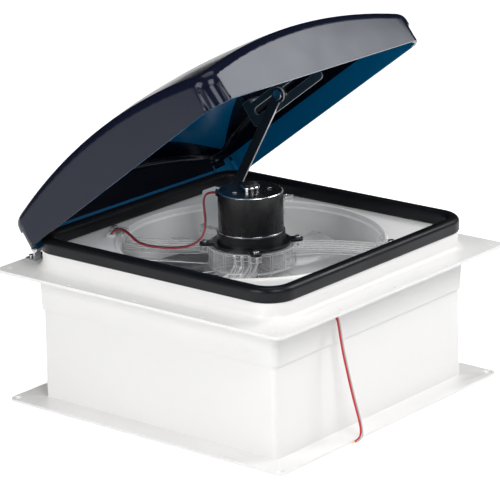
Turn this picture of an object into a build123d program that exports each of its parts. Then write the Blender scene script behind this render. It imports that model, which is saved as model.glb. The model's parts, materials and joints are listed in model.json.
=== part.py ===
from build123d import *
import os
from math import acos, atan2, cos, degrees, hypot, radians, sin, sqrt, tan

# Caravan roof vent for a 14 inch roof opening, drawn with its lid open.
# Z is up, z = 0 is the roof surface and the origin is the centre of the opening.
# The lid hinges along X at the +Y side, and its free edge is toward -Y.

# Clearances and overruns
cut_overrun = 1.0
bush_seat_gap = 1.0
running_gap = 0.05
piece_gap = 0.3

# Roof moulding
flange_width = 416.5
flange_thickness = 3.5
flange_corner = 11.0
collar_width = 355.0
collar_corner = 30.0
collar_foot_fillet = 9.0
deck_top = 23.5
mould_wall = 3.0
skirt_width = 350.0
skirt_foot_width = 346.8
skirt_depth = 47.4
skirt_wall = 2.0
skirt_corner = 9.0
throat_radius = 150.0
throat_depth = 30.0
throat_lip_radius = 152.0
throat_lip_width = 4.0
throat_lip_height = 2.0
throat_lip_round = 1.5
throat_step = 6.0
throat_rim_width = 7.0
corner_hole_place = 195.2
edge_hole_place = 203.0
edge_hole_pitch = 97.6
roof_hole_radius = 2.2

# Rim gasket
gasket_width = 360.0
gasket_ring = 15.0
gasket_height = 17.5
gasket_corner = 35.0
gasket_top_round = 6.5
gasket_foot_round = 3.0

# Ceiling trim
trim_top = -20.0
trim_top_width = 341.4
trim_foot_width = 343.6
trim_flange_width = 403.4
trim_flange_top = -153.0
trim_flange_thickness = 3.0
trim_wall = 2.5
trim_corner = 7.0
trim_flange_corner = 8.0
trim_hole_place = 194.0
trim_hole_radius = 2.2
trim_sink_radius = 4.2

# Insect screen
screen_ring_width = 17.0
screen_ring_thickness = 4.0
screen_sheet = 0.8
screen_pitch = 17.5
screen_wire = 2.5
screen_screw_count = 4
screen_screw_inset = 1.0

# Motor, on the Z axis
plate_radius = 45.4
plate_thickness = 3.5
ear_place = 53.0
ear_radius = 6.5
cup_radius = 39.3
cup_height = 12.0
motor_wall = 2.0
seam_radius = 38.4
seam_height = 1.6
can_radius = 37.5
can_top = 82.3
can_round = 2.0
boss_radius = 11.0
boss_height = 5.7
boss_cap_radius = 8.5
boss_cap_height = 2.6
shaft_radius = 4.0
bush_radius = 7.0
bush_length = 6.0
magnet_thickness = 4.2
magnet_height = 34.0
magnet_arc_share = 0.78
armature_radius = 29.5
armature_height = 30.0
armature_slots = 7
armature_slot_width = 5.0
armature_slot_depth = 14.0
commutator_radius = 9.0
commutator_height = 7.0
brush_length = 12.0
brush_width = 6.0
top_screw_place = 22.0
top_screw_azimuth = 165.0
top_screw_turn = 155.0

# Motor spider, one clear moulding
hub_radius = 51.0
hub_top = 19.5
hub_bottom = -4.0
hub_wall = 2.5
hub_floor = 3.0
hub_boss_radius = 12.0
hub_rib_count = 16
arm_count = 4
arm_first_azimuth = 29.0
arm_centre_radius = 188.7
arm_centre_azimuth = 58.7
arm_inner_bend = 157.0
arm_outer_bend = 184.0
arm_rib_count = 4
arm_rib_width = 2.0
arm_top = 18.5
arm_floor_top = 12.5
arm_bottom = 10.0
arm_riser_start = 146.0
arm_riser_gap = 0.5
arm_pad_end = 168.0
arm_pad_thickness = 3.5
arm_pad_bend = 171.0
arm_screw_place = 163.0
arm_screw_bend = 164.0

# Fan
fan_tip_gap = 4.0
fan_hub_radius = 40.0
fan_hub_foot_radius = 37.0
fan_hub_gap = 2.0
fan_hub_height = 20.0
fan_hub_wall = 2.5
fan_boss_radius = 9.0
blade_count = 10
blade_root_chord = 26.0
blade_tip_chord = 54.0
blade_root_pitch = 42.0
blade_tip_pitch = 20.0
blade_thickness = 2.0
blade_camber = 3.0
fan_nut_width = 13.0
fan_nut_height = 6.0
fan_shaft_tip = 1.0

# Lid, drawn on its rim plane
lid_open_angle = 36.35
hinge_y = 191.7
hinge_z = 18.0
lid_closed_rim = 15.0
lid_width = 372.0
lid_wall = 2.5
lid_draft = 3.2
lid_crown_radius = 704.0
lid_crown_top = 83.0
lid_shoulder = 13.0
lid_skirt_corner = 24.0
lid_recess_start = 166.5
lid_recess_depth = 4.5
lid_recess_height = 22.0
lid_pillar_round = 16.0

# Hinges
hinge_place = 140.0
hinge_width = 38.0
hinge_share = 0.46
hinge_side_gap = 0.4
knuckle_radius = 5.0
hinge_pin_radius = 2.5
hinge_sheet = 2.0
hinge_foot_end = 206.0
hinge_web_start = 190.2
hinge_web = 3.0
hinge_leaf_height = 18.0
hinge_screw_pitch = 24.0
hinge_screw_y = 202.0
hinge_leaf_screw_place = 14.0

# Slide rail, in the lid's own plane: y toward the hinge, height above the rim
rail_inner_x = 48.0
rail_thickness = 2.0
rail_free_end = -136.0
rail_hinge_end = -10.5
rail_bottom = 5.0
rail_top = 32.0
rail_corner = 6.0
rail_foot_height = 37.0
rail_foot_length = 13.0
rail_foot_width = 16.0
slot_free_end = -122.0
slot_hinge_end = -22.0
slot_gap = 0.5
lid_post_radius = 5.5

# Lift arm and gearbox
arm_pivot_y = 71.0
arm_pivot_z = 45.0
arm_pin_y = -7.0
arm_pin_z = 185.0
arm_inner_x = 44.0
arm_sheet = 3.0
arm_width = 12.0
arm_end_radius = 9.0
arm_pin_radius = 4.0
arm_pin_head_radius = 6.0
arm_pin_head_height = 1.5
arm_clip_radius = 7.0
arm_clip_thickness = 1.2
gearbox_start_x = 23.0
gearbox_end_x = 41.5
gearbox_start_y = 53.0
gearbox_end_y = 92.0
gearbox_top = 62.0
gearbox_wall = 2.0
gearbox_cover = 3.0
gearbox_round = 4.0
gearbox_shaft_radius = 4.0
gearbox_seat_depth = 8.0
lift_motor_radius = 6.5
lift_motor_length = 22.0
platform_overhang = 3.0
platform_thickness = 3.0

# Control unit, under one corner of the deck
control_centre = 141.0
control_width = 50.0
control_bottom = -22.0
control_wall = 2.0
control_panel_thickness = 3.0
control_board_height = 10.0
control_board_thickness = 1.6
button_pitch = 18.0
button_radius = 5.0
button_flange_radius = 6.5
button_flange_thickness = 1.2
button_reach = 2.0
button_travel = 1.5
button_spring_radius = 3.5

# Screws
screw_head_radius = 3.8
screw_head_height = 2.4
screw_shank_radius = 1.8
small_head_radius = 3.0
small_head_height = 1.8
small_shank_radius = 1.4

# Leads
lead_diameter = 2.2
motor_outlet_azimuth = 120.0
motor_outlet_z = 78.0
outlet_radius = 4.4
outlet_reach = 2.0
deck_grommet_x = -84.0
deck_grommet_y = 140.0
deck_grommet_radius = 6.0
deck_grommet_height = 3.0
grommet_groove = 0.9
grommet_bore = 3.0
skirt_grommet_x = -79.0
skirt_grommet_z = -10.0
skirt_grommet_radius = 5.5
skirt_grommet_reach = 2.0

# Sizes that follow from those above
collar_height = deck_top - flange_thickness
deck_bottom = deck_top - mould_wall
throat_outer_radius = throat_radius + mould_wall
lip_outer_radius = throat_lip_radius + throat_lip_width
lip_top = deck_top + throat_lip_height
throat_rim_radius = throat_outer_radius + throat_rim_width
plate_top = hub_top + plate_thickness
cup_top = plate_top + cup_height
can_bottom = cup_top + seam_height
can_inner_top = can_top - motor_wall
motor_inner_radius = can_radius - motor_wall
fan_top = hub_bottom - fan_hub_gap
fan_bottom = fan_top - fan_hub_height
arm_screw_turn = degrees(
    acos(
        (arm_screw_place**2 + arm_centre_radius**2 - arm_screw_bend**2)
        / (2 * arm_screw_place * arm_centre_radius)
    )
)
arm_screw_azimuth = arm_first_azimuth + arm_screw_turn - arm_centre_azimuth
fan_radius = throat_radius - fan_tip_gap
rail_outer_x = rail_inner_x + rail_thickness
arm_outer_x = arm_inner_x + arm_sheet
arm_length = hypot(arm_pin_y - arm_pivot_y, arm_pin_z - arm_pivot_z)
arm_rise = degrees(atan2(arm_pin_z - arm_pivot_z, arm_pivot_y - arm_pin_y))
arm_pad_bottom = lip_top
arm_pad_top = arm_pad_bottom + arm_pad_thickness

# The lid's rim plane, turned open about the hinge axis
open_cos = cos(radians(lid_open_angle))
open_sin = sin(radians(lid_open_angle))
rim_drop = lid_closed_rim - hinge_z
lid_origin_y = hinge_y - hinge_y * open_cos + rim_drop * open_sin
lid_origin_z = hinge_z + hinge_y * open_sin + rim_drop * open_cos
lid_plane = Plane(
    origin=(0, lid_origin_y, lid_origin_z), x_dir=(1, 0, 0), z_dir=(0, open_sin, open_cos)
)
lid_axis = Axis(lid_plane.origin, lid_plane.z_dir)

# Height of the arm's pin above the rim, from the lid closed back to the pin
pin_from_hinge_y = arm_pin_y - hinge_y
pin_from_hinge_z = arm_pin_z - hinge_z
slot_height = hinge_z + pin_from_hinge_y * open_sin + pin_from_hinge_z * open_cos - lid_closed_rim


def crown_height(distance, inset):
    """Height of the crown above the rim at a distance from the lid's middle."""
    radius = lid_crown_radius - inset
    return lid_crown_top - lid_crown_radius + sqrt(radius**2 - distance**2)


def lid_side(x):
    """Plane across X at x, with its own x toward the hinge and y up from the rim."""
    return Plane(
        origin=lid_plane.from_local_coords((x, 0, 0)), x_dir=lid_plane.y_dir, z_dir=(1, 0, 0)
    )


def side_plane(x):
    """Plane across X at x, with its own x along Y and its y along Z."""
    return Plane(origin=(x, 0, 0), x_dir=(0, 1, 0), z_dir=(1, 0, 0))


def spots(radius, count, first_azimuth, height):
    """Points at even steps round the Z axis."""
    step = 360 / count
    return [
        (
            radius * cos(radians(first_azimuth + step * index)),
            radius * sin(radians(first_azimuth + step * index)),
            height,
        )
        for index in range(count)
    ]


def corners(place, height):
    """The four corners of a square on the Z axis."""
    return [(x * place, y * place, height) for x in (-1, 1) for y in (-1, 1)]


def arc_radii(points):
    """Radius at each inner point of a lead: as large as its two runs allow."""
    radii = []
    for before, here, after in zip(points, points[1:], points[2:]):
        run_in = Vector(here) - Vector(before)
        run_out = Vector(after) - Vector(here)
        half_turn = radians(run_in.get_angle(run_out) / 2)
        radii.append(0.45 * min(run_in.length, run_out.length) / tan(half_turn))
    return radii


def lead(points, name):
    """A round lead along straight runs joined by tangent arcs."""
    radii = arc_radii(points)
    print(name, "radii", [round(radius, 1) for radius in radii])
    with BuildPart() as tube:
        with BuildLine() as route:
            FilletPolyline(*points, radius=radii)
        path = route.wire()
        with BuildSketch(Plane(origin=path @ 0, z_dir=path % 0)):
            Circle(lead_diameter / 2)
        sweep(path=path)
    section = radians(180) * (lead_diameter / 2) ** 2
    print(name, "length", round(path.length, 1))
    print(name, "volume share", round(tube.part.volume / (section * path.length), 4))
    tube.part.label = name
    return tube.part


def pan_screw(head_radius, head_height, shank_radius, shank_length):
    """A pan head screw whose head stands on z = 0 and whose shank goes down."""
    with BuildPart() as screw:
        Cylinder(head_radius, head_height, align=(Align.CENTER, Align.CENTER, Align.MIN))
        fillet(screw.edges().group_by(Axis.Z)[-1], head_height / 2)
        Cylinder(shank_radius, shank_length, align=(Align.CENTER, Align.CENTER, Align.MAX))
    return screw.part


os.makedirs("parts", exist_ok=True)


# Roof moulding: flange, collar, deck, throat and skirt in one piece
roof_holes = corners(corner_hole_place, flange_thickness)
for along in (-edge_hole_pitch, 0, edge_hole_pitch):
    for side in (-edge_hole_place, edge_hole_place):
        roof_holes += [(along, side, flange_thickness), (side, along, flange_thickness)]

hinge_screw_spots = [
    (side * hinge_place + end * hinge_screw_pitch / 2, hinge_screw_y, flange_thickness + hinge_sheet)
    for side in (-1, 1)
    for end in (-1, 1)
]

skirt_inner = skirt_width - 2 * skirt_wall
skirt_foot_inner = skirt_foot_width - 2 * skirt_wall
collar_inner = collar_width - 2 * mould_wall

with BuildPart() as roof_base:
    with BuildSketch():
        RectangleRounded(flange_width, flange_width, flange_corner)
    extrude(amount=flange_thickness)
    with BuildSketch(Plane.XY.offset(flange_thickness)):
        RectangleRounded(collar_width, collar_width, collar_corner)
    extrude(amount=collar_height)
    flange_face = roof_base.faces().filter_by(Axis.Z).sort_by(Axis.Z)[1]
    fillet(flange_face.inner_wires()[0].edges(), collar_foot_fillet)
    with BuildSketch():
        RectangleRounded(skirt_width, skirt_width, skirt_corner)
    with BuildSketch(Plane.XY.offset(-skirt_depth)):
        RectangleRounded(skirt_foot_width, skirt_foot_width, skirt_corner)
    loft()
    with BuildSketch():
        RectangleRounded(skirt_inner, skirt_inner, skirt_corner - skirt_wall)
    with BuildSketch(Plane.XY.offset(-skirt_depth)):
        RectangleRounded(skirt_foot_inner, skirt_foot_inner, skirt_corner - skirt_wall)
    loft(mode=Mode.SUBTRACT)
    with BuildSketch():
        RectangleRounded(skirt_inner, skirt_inner, skirt_corner - skirt_wall)
    extrude(amount=flange_thickness, mode=Mode.SUBTRACT)
    with BuildSketch(Plane.XY.offset(flange_thickness)):
        RectangleRounded(collar_inner, collar_inner, collar_corner - mould_wall)
    extrude(amount=collar_height - mould_wall, mode=Mode.SUBTRACT)
    with BuildSketch(Plane.XY.offset(deck_bottom)):
        Circle(throat_outer_radius)
    extrude(amount=mould_wall, mode=Mode.SUBTRACT)
    with BuildSketch(Plane.XZ) as throat_profile:
        with BuildLine():
            Polyline(
                (throat_radius, -throat_depth),
                (throat_rim_radius, -throat_depth),
                (throat_rim_radius, mould_wall - throat_depth),
                (throat_outer_radius, mould_wall - throat_depth),
                (throat_outer_radius, deck_bottom),
                (lip_outer_radius, deck_bottom),
                (lip_outer_radius, lip_top),
                (throat_lip_radius, lip_top),
                (throat_lip_radius, deck_top - throat_step + throat_lip_height),
                (throat_radius, deck_top - throat_step),
                close=True,
            )
        make_face()
        fillet(throat_profile.vertices().group_by(Axis.Y)[-1], throat_lip_round)
    revolve(axis=Axis.Z)
    with Locations(*roof_holes):
        Hole(roof_hole_radius, depth=flange_thickness)
    with Locations(*hinge_screw_spots):
        Hole(screw_shank_radius + running_gap, depth=hinge_sheet + flange_thickness)
    with Locations((deck_grommet_x, deck_grommet_y, deck_top)):
        Hole(deck_grommet_radius - grommet_groove, depth=mould_wall)
    with Locations(*spots(arm_screw_place, arm_count, arm_screw_azimuth, deck_top)):
        Hole(screw_shank_radius + running_gap, depth=mould_wall)
    with Locations(Plane.XZ.offset(skirt_width / 2 + cut_overrun)):
        with Locations((skirt_grommet_x, skirt_grommet_z)):
            Hole(skirt_grommet_radius - grommet_groove, depth=skirt_wall + 3 * cut_overrun)
roof_base.part.label = "roof_base"
export_step(roof_base.part, "parts/roof_base.step")


# Rim gasket on the deck's edge
gasket_inner = gasket_width - 2 * gasket_ring
with BuildPart() as rim_gasket:
    with BuildSketch(Plane.XY.offset(deck_top)):
        RectangleRounded(gasket_width, gasket_width, gasket_corner)
        RectangleRounded(gasket_inner, gasket_inner, gasket_corner - gasket_ring, mode=Mode.SUBTRACT)
    extrude(amount=gasket_height)
    fillet(rim_gasket.faces().sort_by(Axis.Z)[-1].edges(), gasket_top_round)
    fillet(rim_gasket.faces().sort_by(Axis.Z)[0].outer_wire().edges(), gasket_foot_round)
rim_gasket.part.label = "rim_gasket"
export_step(rim_gasket.part, "parts/rim_gasket.step")


# Ceiling trim: a box that slides up inside the skirt, with a drilled flange below
trim_flange_bottom = trim_flange_top - trim_flange_thickness
with BuildPart() as ceiling_trim:
    with BuildSketch(Plane.XY.offset(trim_flange_bottom)):
        RectangleRounded(trim_flange_width, trim_flange_width, trim_flange_corner)
    extrude(amount=trim_flange_thickness)
    with BuildSketch(Plane.XY.offset(trim_flange_bottom)):
        RectangleRounded(trim_foot_width, trim_foot_width, trim_corner)
    with BuildSketch(Plane.XY.offset(trim_top)):
        RectangleRounded(trim_top_width, trim_top_width, trim_corner)
    loft()
    with BuildSketch(Plane.XY.offset(trim_flange_bottom)):
        foot_inner = trim_foot_width - 2 * trim_wall
        RectangleRounded(foot_inner, foot_inner, trim_corner - trim_wall)
    with BuildSketch(Plane.XY.offset(trim_top)):
        top_inner = trim_top_width - 2 * trim_wall
        RectangleRounded(top_inner, top_inner, trim_corner - trim_wall)
    loft(mode=Mode.SUBTRACT)
    with Locations(*corners(trim_hole_place, trim_flange_top)):
        CounterSinkHole(trim_hole_radius, trim_sink_radius, depth=trim_flange_thickness)
ceiling_trim.part.label = "ceiling_trim"
export_step(ceiling_trim.part, "parts/ceiling_trim.step")


# Insect screen: a ring screwed under the throat, and a holed sheet in its rebate
screen_inner_radius = throat_rim_radius - screen_ring_width
screen_sheet_radius = throat_radius - running_gap
screen_bottom = -throat_depth - screen_ring_thickness
screen_screw_radius = throat_rim_radius - small_head_radius - screen_screw_inset
screen_screw_spots = spots(screen_screw_radius, screen_screw_count, arm_first_azimuth, screen_bottom)
with BuildPart() as screen_frame:
    with BuildSketch(Plane.XY.offset(screen_bottom)):
        Circle(throat_rim_radius)
        Circle(screen_inner_radius, mode=Mode.SUBTRACT)
    extrude(amount=screen_ring_thickness)
    with BuildSketch(Plane.XY.offset(-throat_depth - screen_sheet)):
        Circle(throat_radius)
    extrude(amount=screen_sheet, mode=Mode.SUBTRACT)
    with Locations(*screen_screw_spots):
        Cylinder(
            small_shank_radius + running_gap, 2 * screen_ring_thickness + cut_overrun, mode=Mode.SUBTRACT
        )
screen_frame.part.label = "screen_frame"
export_step(screen_frame.part, "parts/screen_frame.step")

screen_cells = int(2 * throat_radius / screen_pitch)
screen_window = screen_pitch - screen_wire
screen_middles = [
    ((column - (screen_cells - 1) / 2) * screen_pitch, (row - (screen_cells - 1) / 2) * screen_pitch)
    for column in range(screen_cells)
    for row in range(screen_cells)
]
screen_places = [
    middle for middle in screen_middles if hypot(*middle) + screen_window / sqrt(2) < screen_inner_radius
]
with BuildPart() as insect_screen:
    with BuildSketch(Plane.XY.offset(-throat_depth - screen_sheet)):
        Circle(screen_sheet_radius)
        with Locations(*screen_places):
            Rectangle(screen_window, screen_window, mode=Mode.SUBTRACT)
    extrude(amount=screen_sheet)
insect_screen.part.label = "insect_screen"
export_step(insect_screen.part, "parts/insect_screen.step")

small_screw_up = pan_screw(small_head_radius, small_head_height, small_shank_radius, screen_ring_thickness)
with BuildPart() as screen_screws:
    for place in screen_screw_spots:
        with Locations(Location(place, (180, 0, 0))):
            add(small_screw_up)
screen_screws.part.label = "screen_screws"
export_step(screen_screws.part, "parts/screen_screws.step")


# Motor spider: hub, four swept arms that step up on the deck, and the lift's platform
def draw_arm_plan(start_radius, end_radius, inner_bend, outer_bend):
    """Plan of an arm between two bends and two distances from the Z axis."""
    with Locations((0, -arm_centre_radius)):
        Circle(outer_bend)
        Circle(inner_bend, mode=Mode.SUBTRACT)
    Circle(end_radius, mode=Mode.INTERSECT)
    Circle(start_radius, mode=Mode.SUBTRACT)
    with Locations((end_radius / 2, 0)):
        Rectangle(end_radius, 2 * end_radius, mode=Mode.INTERSECT)


arm_root_radius = hub_radius - hub_wall
arm_riser_end = throat_radius - arm_riser_gap
arm_rib_pitch = (arm_outer_bend - arm_inner_bend - arm_rib_width) / (arm_rib_count - 1)


def spider_arm(azimuth):
    """One ribbed arm whose end stands at an azimuth."""
    base = Plane.XY.rotated((0, 0, azimuth - arm_centre_azimuth + 90))
    with BuildPart() as arm:
        with BuildSketch(base.offset(arm_bottom)):
            draw_arm_plan(arm_root_radius, arm_riser_end, arm_inner_bend, arm_outer_bend)
        extrude(amount=arm_floor_top - arm_bottom)
        for rib in range(arm_rib_count):
            rib_bend = arm_inner_bend + rib * arm_rib_pitch
            with BuildSketch(base.offset(arm_floor_top)):
                draw_arm_plan(arm_root_radius, arm_riser_end, rib_bend, rib_bend + arm_rib_width)
            extrude(amount=arm_top - arm_floor_top)
        with BuildSketch(base.offset(arm_bottom)):
            draw_arm_plan(arm_riser_start, arm_riser_end, arm_inner_bend, arm_outer_bend)
        extrude(amount=arm_pad_top - arm_bottom)
        with BuildSketch(base.offset(arm_pad_bottom)):
            draw_arm_plan(arm_riser_start, arm_pad_end, arm_inner_bend, arm_pad_bend)
        extrude(amount=arm_pad_thickness)
        with BuildSketch(base.offset(deck_top)):
            draw_arm_plan(lip_outer_radius + piece_gap, arm_pad_end, arm_inner_bend, arm_pad_bend)
        extrude(amount=throat_lip_height)
    return arm.part


spider_arms = [spider_arm(arm_first_azimuth + 90 * index) for index in range(arm_count)]
platform_start_x = gearbox_start_x - platform_overhang
platform_length_x = gearbox_end_x - gearbox_cover - platform_start_x
platform_end_y = gearbox_end_y + platform_overhang
ear_spots = spots(ear_place, 4, 45, hub_top)
with BuildPart() as motor_spider:
    with BuildSketch(Plane.XY.offset(hub_bottom)):
        Circle(hub_radius)
        Circle(hub_radius - hub_wall, mode=Mode.SUBTRACT)
        Circle(hub_boss_radius)
        with PolarLocations((hub_radius + hub_boss_radius - hub_wall) / 2, hub_rib_count):
            Rectangle(hub_radius - hub_boss_radius, arm_rib_width)
    extrude(amount=hub_top - hub_bottom - hub_floor)
    with BuildSketch(Plane.XY.offset(hub_top - hub_floor)):
        Circle(hub_radius)
        with Locations(*ear_spots):
            Circle(ear_radius)
    extrude(amount=hub_floor)
    with BuildSketch(Plane.XY.offset(arm_floor_top)):
        with Locations(*ear_spots):
            Circle(ear_radius)
    extrude(amount=hub_top - arm_floor_top - hub_floor)
    add(spider_arms)
    with BuildSketch(Plane.XY.offset(hub_top - platform_thickness)):
        with Locations((platform_start_x, hub_boss_radius)):
            Rectangle(platform_length_x, platform_end_y - hub_boss_radius, align=(Align.MIN, Align.MIN))
    extrude(amount=platform_thickness)
    with BuildSketch(Plane.XY.offset(arm_bottom)):
        for rib_x in (platform_start_x, platform_start_x + platform_length_x - arm_rib_width):
            with Locations((rib_x, 2 * hub_boss_radius)):
                Rectangle(arm_rib_width, platform_end_y - 2 * hub_boss_radius,
                          align=(Align.MIN, Align.MIN))
    extrude(amount=hub_top - platform_thickness - arm_bottom)
    with Locations((0, 0, hub_top)):
        Hole(bush_radius, depth=hub_top - hub_bottom)
    with Locations(*ear_spots):
        Hole(screw_shank_radius, depth=hub_top - arm_floor_top)
    with Locations(*spots(arm_screw_place, arm_count, arm_screw_azimuth, arm_pad_top)):
        Hole(screw_shank_radius + running_gap, depth=arm_pad_top - deck_top)
motor_spider.part.label = "motor_spider"
export_step(motor_spider.part, "parts/motor_spider.step")

pad_screw = pan_screw(screw_head_radius, screw_head_height, screw_shank_radius, arm_pad_top - deck_bottom)
with BuildPart() as spider_screws:
    with Locations(*spots(arm_screw_place, arm_count, arm_screw_azimuth, arm_pad_top)):
        add(pad_screw)
spider_screws.part.label = "spider_screws"
export_step(spider_screws.part, "parts/spider_screws.step")


# Motor shell: mounting plate, base cup, seam ring, can, boss and cap
with BuildPart() as motor_plate:
    with BuildSketch(Plane.XY.offset(hub_top)):
        Circle(plate_radius)
        with PolarLocations(ear_place / 2, 4, start_angle=45):
            Rectangle(ear_place, 2 * ear_radius)
        with Locations(*ear_spots):
            Circle(ear_radius)
        with Locations(*ear_spots):
            Circle(screw_shank_radius, mode=Mode.SUBTRACT)
        Circle(bush_radius + bush_seat_gap, mode=Mode.SUBTRACT)
    extrude(amount=plate_thickness)
motor_plate.part.label = "motor_plate"
export_step(motor_plate.part, "parts/motor_plate.step")

ear_screw = pan_screw(screw_head_radius, screw_head_height, screw_shank_radius, plate_top - arm_floor_top)
with BuildPart() as motor_plate_screws:
    with Locations(*spots(ear_place, 4, 45, plate_top)):
        add(ear_screw)
motor_plate_screws.part.label = "motor_plate_screws"
export_step(motor_plate_screws.part, "parts/motor_plate_screws.step")

with BuildPart() as motor_cup:
    with BuildSketch(Plane.XZ):
        with BuildLine():
            Polyline(
                (bush_radius, plate_top),
                (cup_radius, plate_top),
                (cup_radius, cup_top),
                (cup_radius - motor_wall, cup_top),
                (cup_radius - motor_wall, plate_top + motor_wall),
                (bush_radius + motor_wall, plate_top + motor_wall),
                (bush_radius + motor_wall, plate_top + bush_length),
                (bush_radius, plate_top + bush_length),
                close=True,
            )
        make_face()
    revolve(axis=Axis.Z)
motor_cup.part.label = "motor_cup"
export_step(motor_cup.part, "parts/motor_cup.step")

with BuildPart() as motor_seam_ring:
    with BuildSketch(Plane.XY.offset(cup_top)):
        Circle(seam_radius)
        Circle(motor_inner_radius, mode=Mode.SUBTRACT)
    extrude(amount=seam_height)
motor_seam_ring.part.label = "motor_seam_ring"
export_step(motor_seam_ring.part, "parts/motor_seam_ring.step")

top_screw_spots = [
    (
        top_screw_place * cos(radians(azimuth)),
        top_screw_place * sin(radians(azimuth)),
        can_top,
    )
    for azimuth in (top_screw_azimuth, top_screw_azimuth + top_screw_turn)
]
outlet_plane = Plane(
    origin=(
        can_radius * cos(radians(motor_outlet_azimuth)),
        can_radius * sin(radians(motor_outlet_azimuth)),
        motor_outlet_z,
    ),
    z_dir=(cos(radians(motor_outlet_azimuth)), sin(radians(motor_outlet_azimuth)), 0),
)
with BuildPart() as motor_can:
    with Locations((0, 0, can_bottom)):
        Cylinder(can_radius, can_top - can_bottom, align=(Align.CENTER, Align.CENTER, Align.MIN))
    fillet(motor_can.edges().group_by(Axis.Z)[-1], can_round)
    with Locations((0, 0, can_bottom)):
        Cylinder(motor_inner_radius, can_inner_top - can_bottom,
                 align=(Align.CENTER, Align.CENTER, Align.MIN), mode=Mode.SUBTRACT)
    with Locations((0, 0, can_top)):
        Hole(bush_radius, depth=motor_wall)
    with Locations(*top_screw_spots):
        Hole(small_shank_radius, depth=motor_wall)
motor_can.part.label = "motor_can"
export_step(motor_can.part, "parts/motor_can.step")

with BuildPart() as motor_boss:
    with Locations((0, 0, can_top)):
        Cylinder(boss_radius, boss_height, align=(Align.CENTER, Align.CENTER, Align.MIN))
    fillet(motor_boss.edges().group_by(Axis.Z)[-1], boss_radius - boss_cap_radius - piece_gap)
    with Locations((0, 0, can_top + boss_height)):
        Hole(bush_radius, depth=boss_height)
motor_boss.part.label = "motor_boss"
export_step(motor_boss.part, "parts/motor_boss.step")

with BuildPart() as motor_boss_cap:
    with Locations((0, 0, can_top + boss_height)):
        Cylinder(boss_cap_radius, boss_cap_height, align=(Align.CENTER, Align.CENTER, Align.MIN))
    fillet(motor_boss_cap.edges().group_by(Axis.Z)[-1], boss_cap_height / 2)
motor_boss_cap.part.label = "motor_boss_cap"
export_step(motor_boss_cap.part, "parts/motor_boss_cap.step")

cap_screw = pan_screw(small_head_radius, small_head_height, small_shank_radius, motor_wall)
with BuildPart() as motor_top_screws:
    with Locations(*top_screw_spots):
        add(cap_screw)
motor_top_screws.part.label = "motor_top_screws"
export_step(motor_top_screws.part, "parts/motor_top_screws.step")

with BuildPart() as motor_outlet:
    with BuildSketch(outlet_plane.offset(piece_gap)):
        Circle(outlet_radius)
    extrude(amount=outlet_reach)
motor_outlet.part.label = "motor_outlet"
export_step(motor_outlet.part, "parts/motor_outlet.step")


# Inside the motor: bushes, magnets, brushes, and the turning armature
bush_bottoms = (plate_top, can_top)
with BuildPart() as motor_bushes:
    for bottom, length in zip(bush_bottoms, (bush_length, boss_height)):
        with BuildSketch(Plane.XY.offset(bottom)):
            Circle(bush_radius)
            Circle(shaft_radius + running_gap, mode=Mode.SUBTRACT)
        extrude(amount=length)
motor_bushes.part.label = "motor_bushes"
export_step(motor_bushes.part, "parts/motor_bushes.step")

magnet_bottom = can_bottom + commutator_height
magnet_outer = motor_inner_radius - running_gap
magnet_inner = magnet_outer - magnet_thickness
with BuildPart() as motor_magnets:
    with BuildSketch(Plane.XY.offset(magnet_bottom)):
        Circle(magnet_outer)
        Circle(magnet_inner, mode=Mode.SUBTRACT)
        Rectangle(2 * magnet_outer * (1 - magnet_arc_share), 2 * can_radius, mode=Mode.SUBTRACT)
    extrude(amount=magnet_height)
motor_magnets.part.label = "motor_magnets"
export_step(motor_magnets.part, "parts/motor_magnets.step")

armature_bottom = magnet_bottom + (magnet_height - armature_height) / 2
with BuildPart() as motor_armature:
    with BuildSketch(Plane.XY.offset(armature_bottom)):
        Circle(armature_radius)
        with PolarLocations(armature_radius - armature_slot_depth / 2, armature_slots):
            Rectangle(armature_slot_depth, armature_slot_width, mode=Mode.SUBTRACT)
        Circle(shaft_radius, mode=Mode.SUBTRACT)
    extrude(amount=armature_height)
motor_armature.part.label = "motor_armature"
export_step(motor_armature.part, "parts/motor_armature.step")

commutator_bottom = cup_top - commutator_height / 2
with BuildPart() as motor_commutator:
    with BuildSketch(Plane.XY.offset(commutator_bottom)):
        Circle(commutator_radius)
        Circle(shaft_radius, mode=Mode.SUBTRACT)
    extrude(amount=commutator_height)
motor_commutator.part.label = "motor_commutator"
export_step(motor_commutator.part, "parts/motor_commutator.step")

with BuildPart() as motor_brushes:
    for side in (-1, 1):
        middle = side * (commutator_radius + piece_gap + brush_length / 2)
        with Locations((middle, 0, commutator_bottom + commutator_height / 2)):
            Box(brush_length, brush_width, commutator_height)
motor_brushes.part.label = "motor_brushes"
export_step(motor_brushes.part, "parts/motor_brushes.step")


# Fan shaft, fan and nut
shaft_bottom = fan_bottom - fan_nut_height - fan_shaft_tip
shaft_top = can_top + boss_height - fan_shaft_tip
with BuildPart() as fan_shaft:
    with Locations((0, 0, shaft_bottom)):
        Cylinder(shaft_radius, shaft_top - shaft_bottom, align=(Align.CENTER, Align.CENTER, Align.MIN))
    chamfer(fan_shaft.edges().group_by(Axis.Z)[0], fan_shaft_tip / 2)
fan_shaft.part.label = "fan_shaft"
export_step(fan_shaft.part, "parts/fan_shaft.step")

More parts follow.
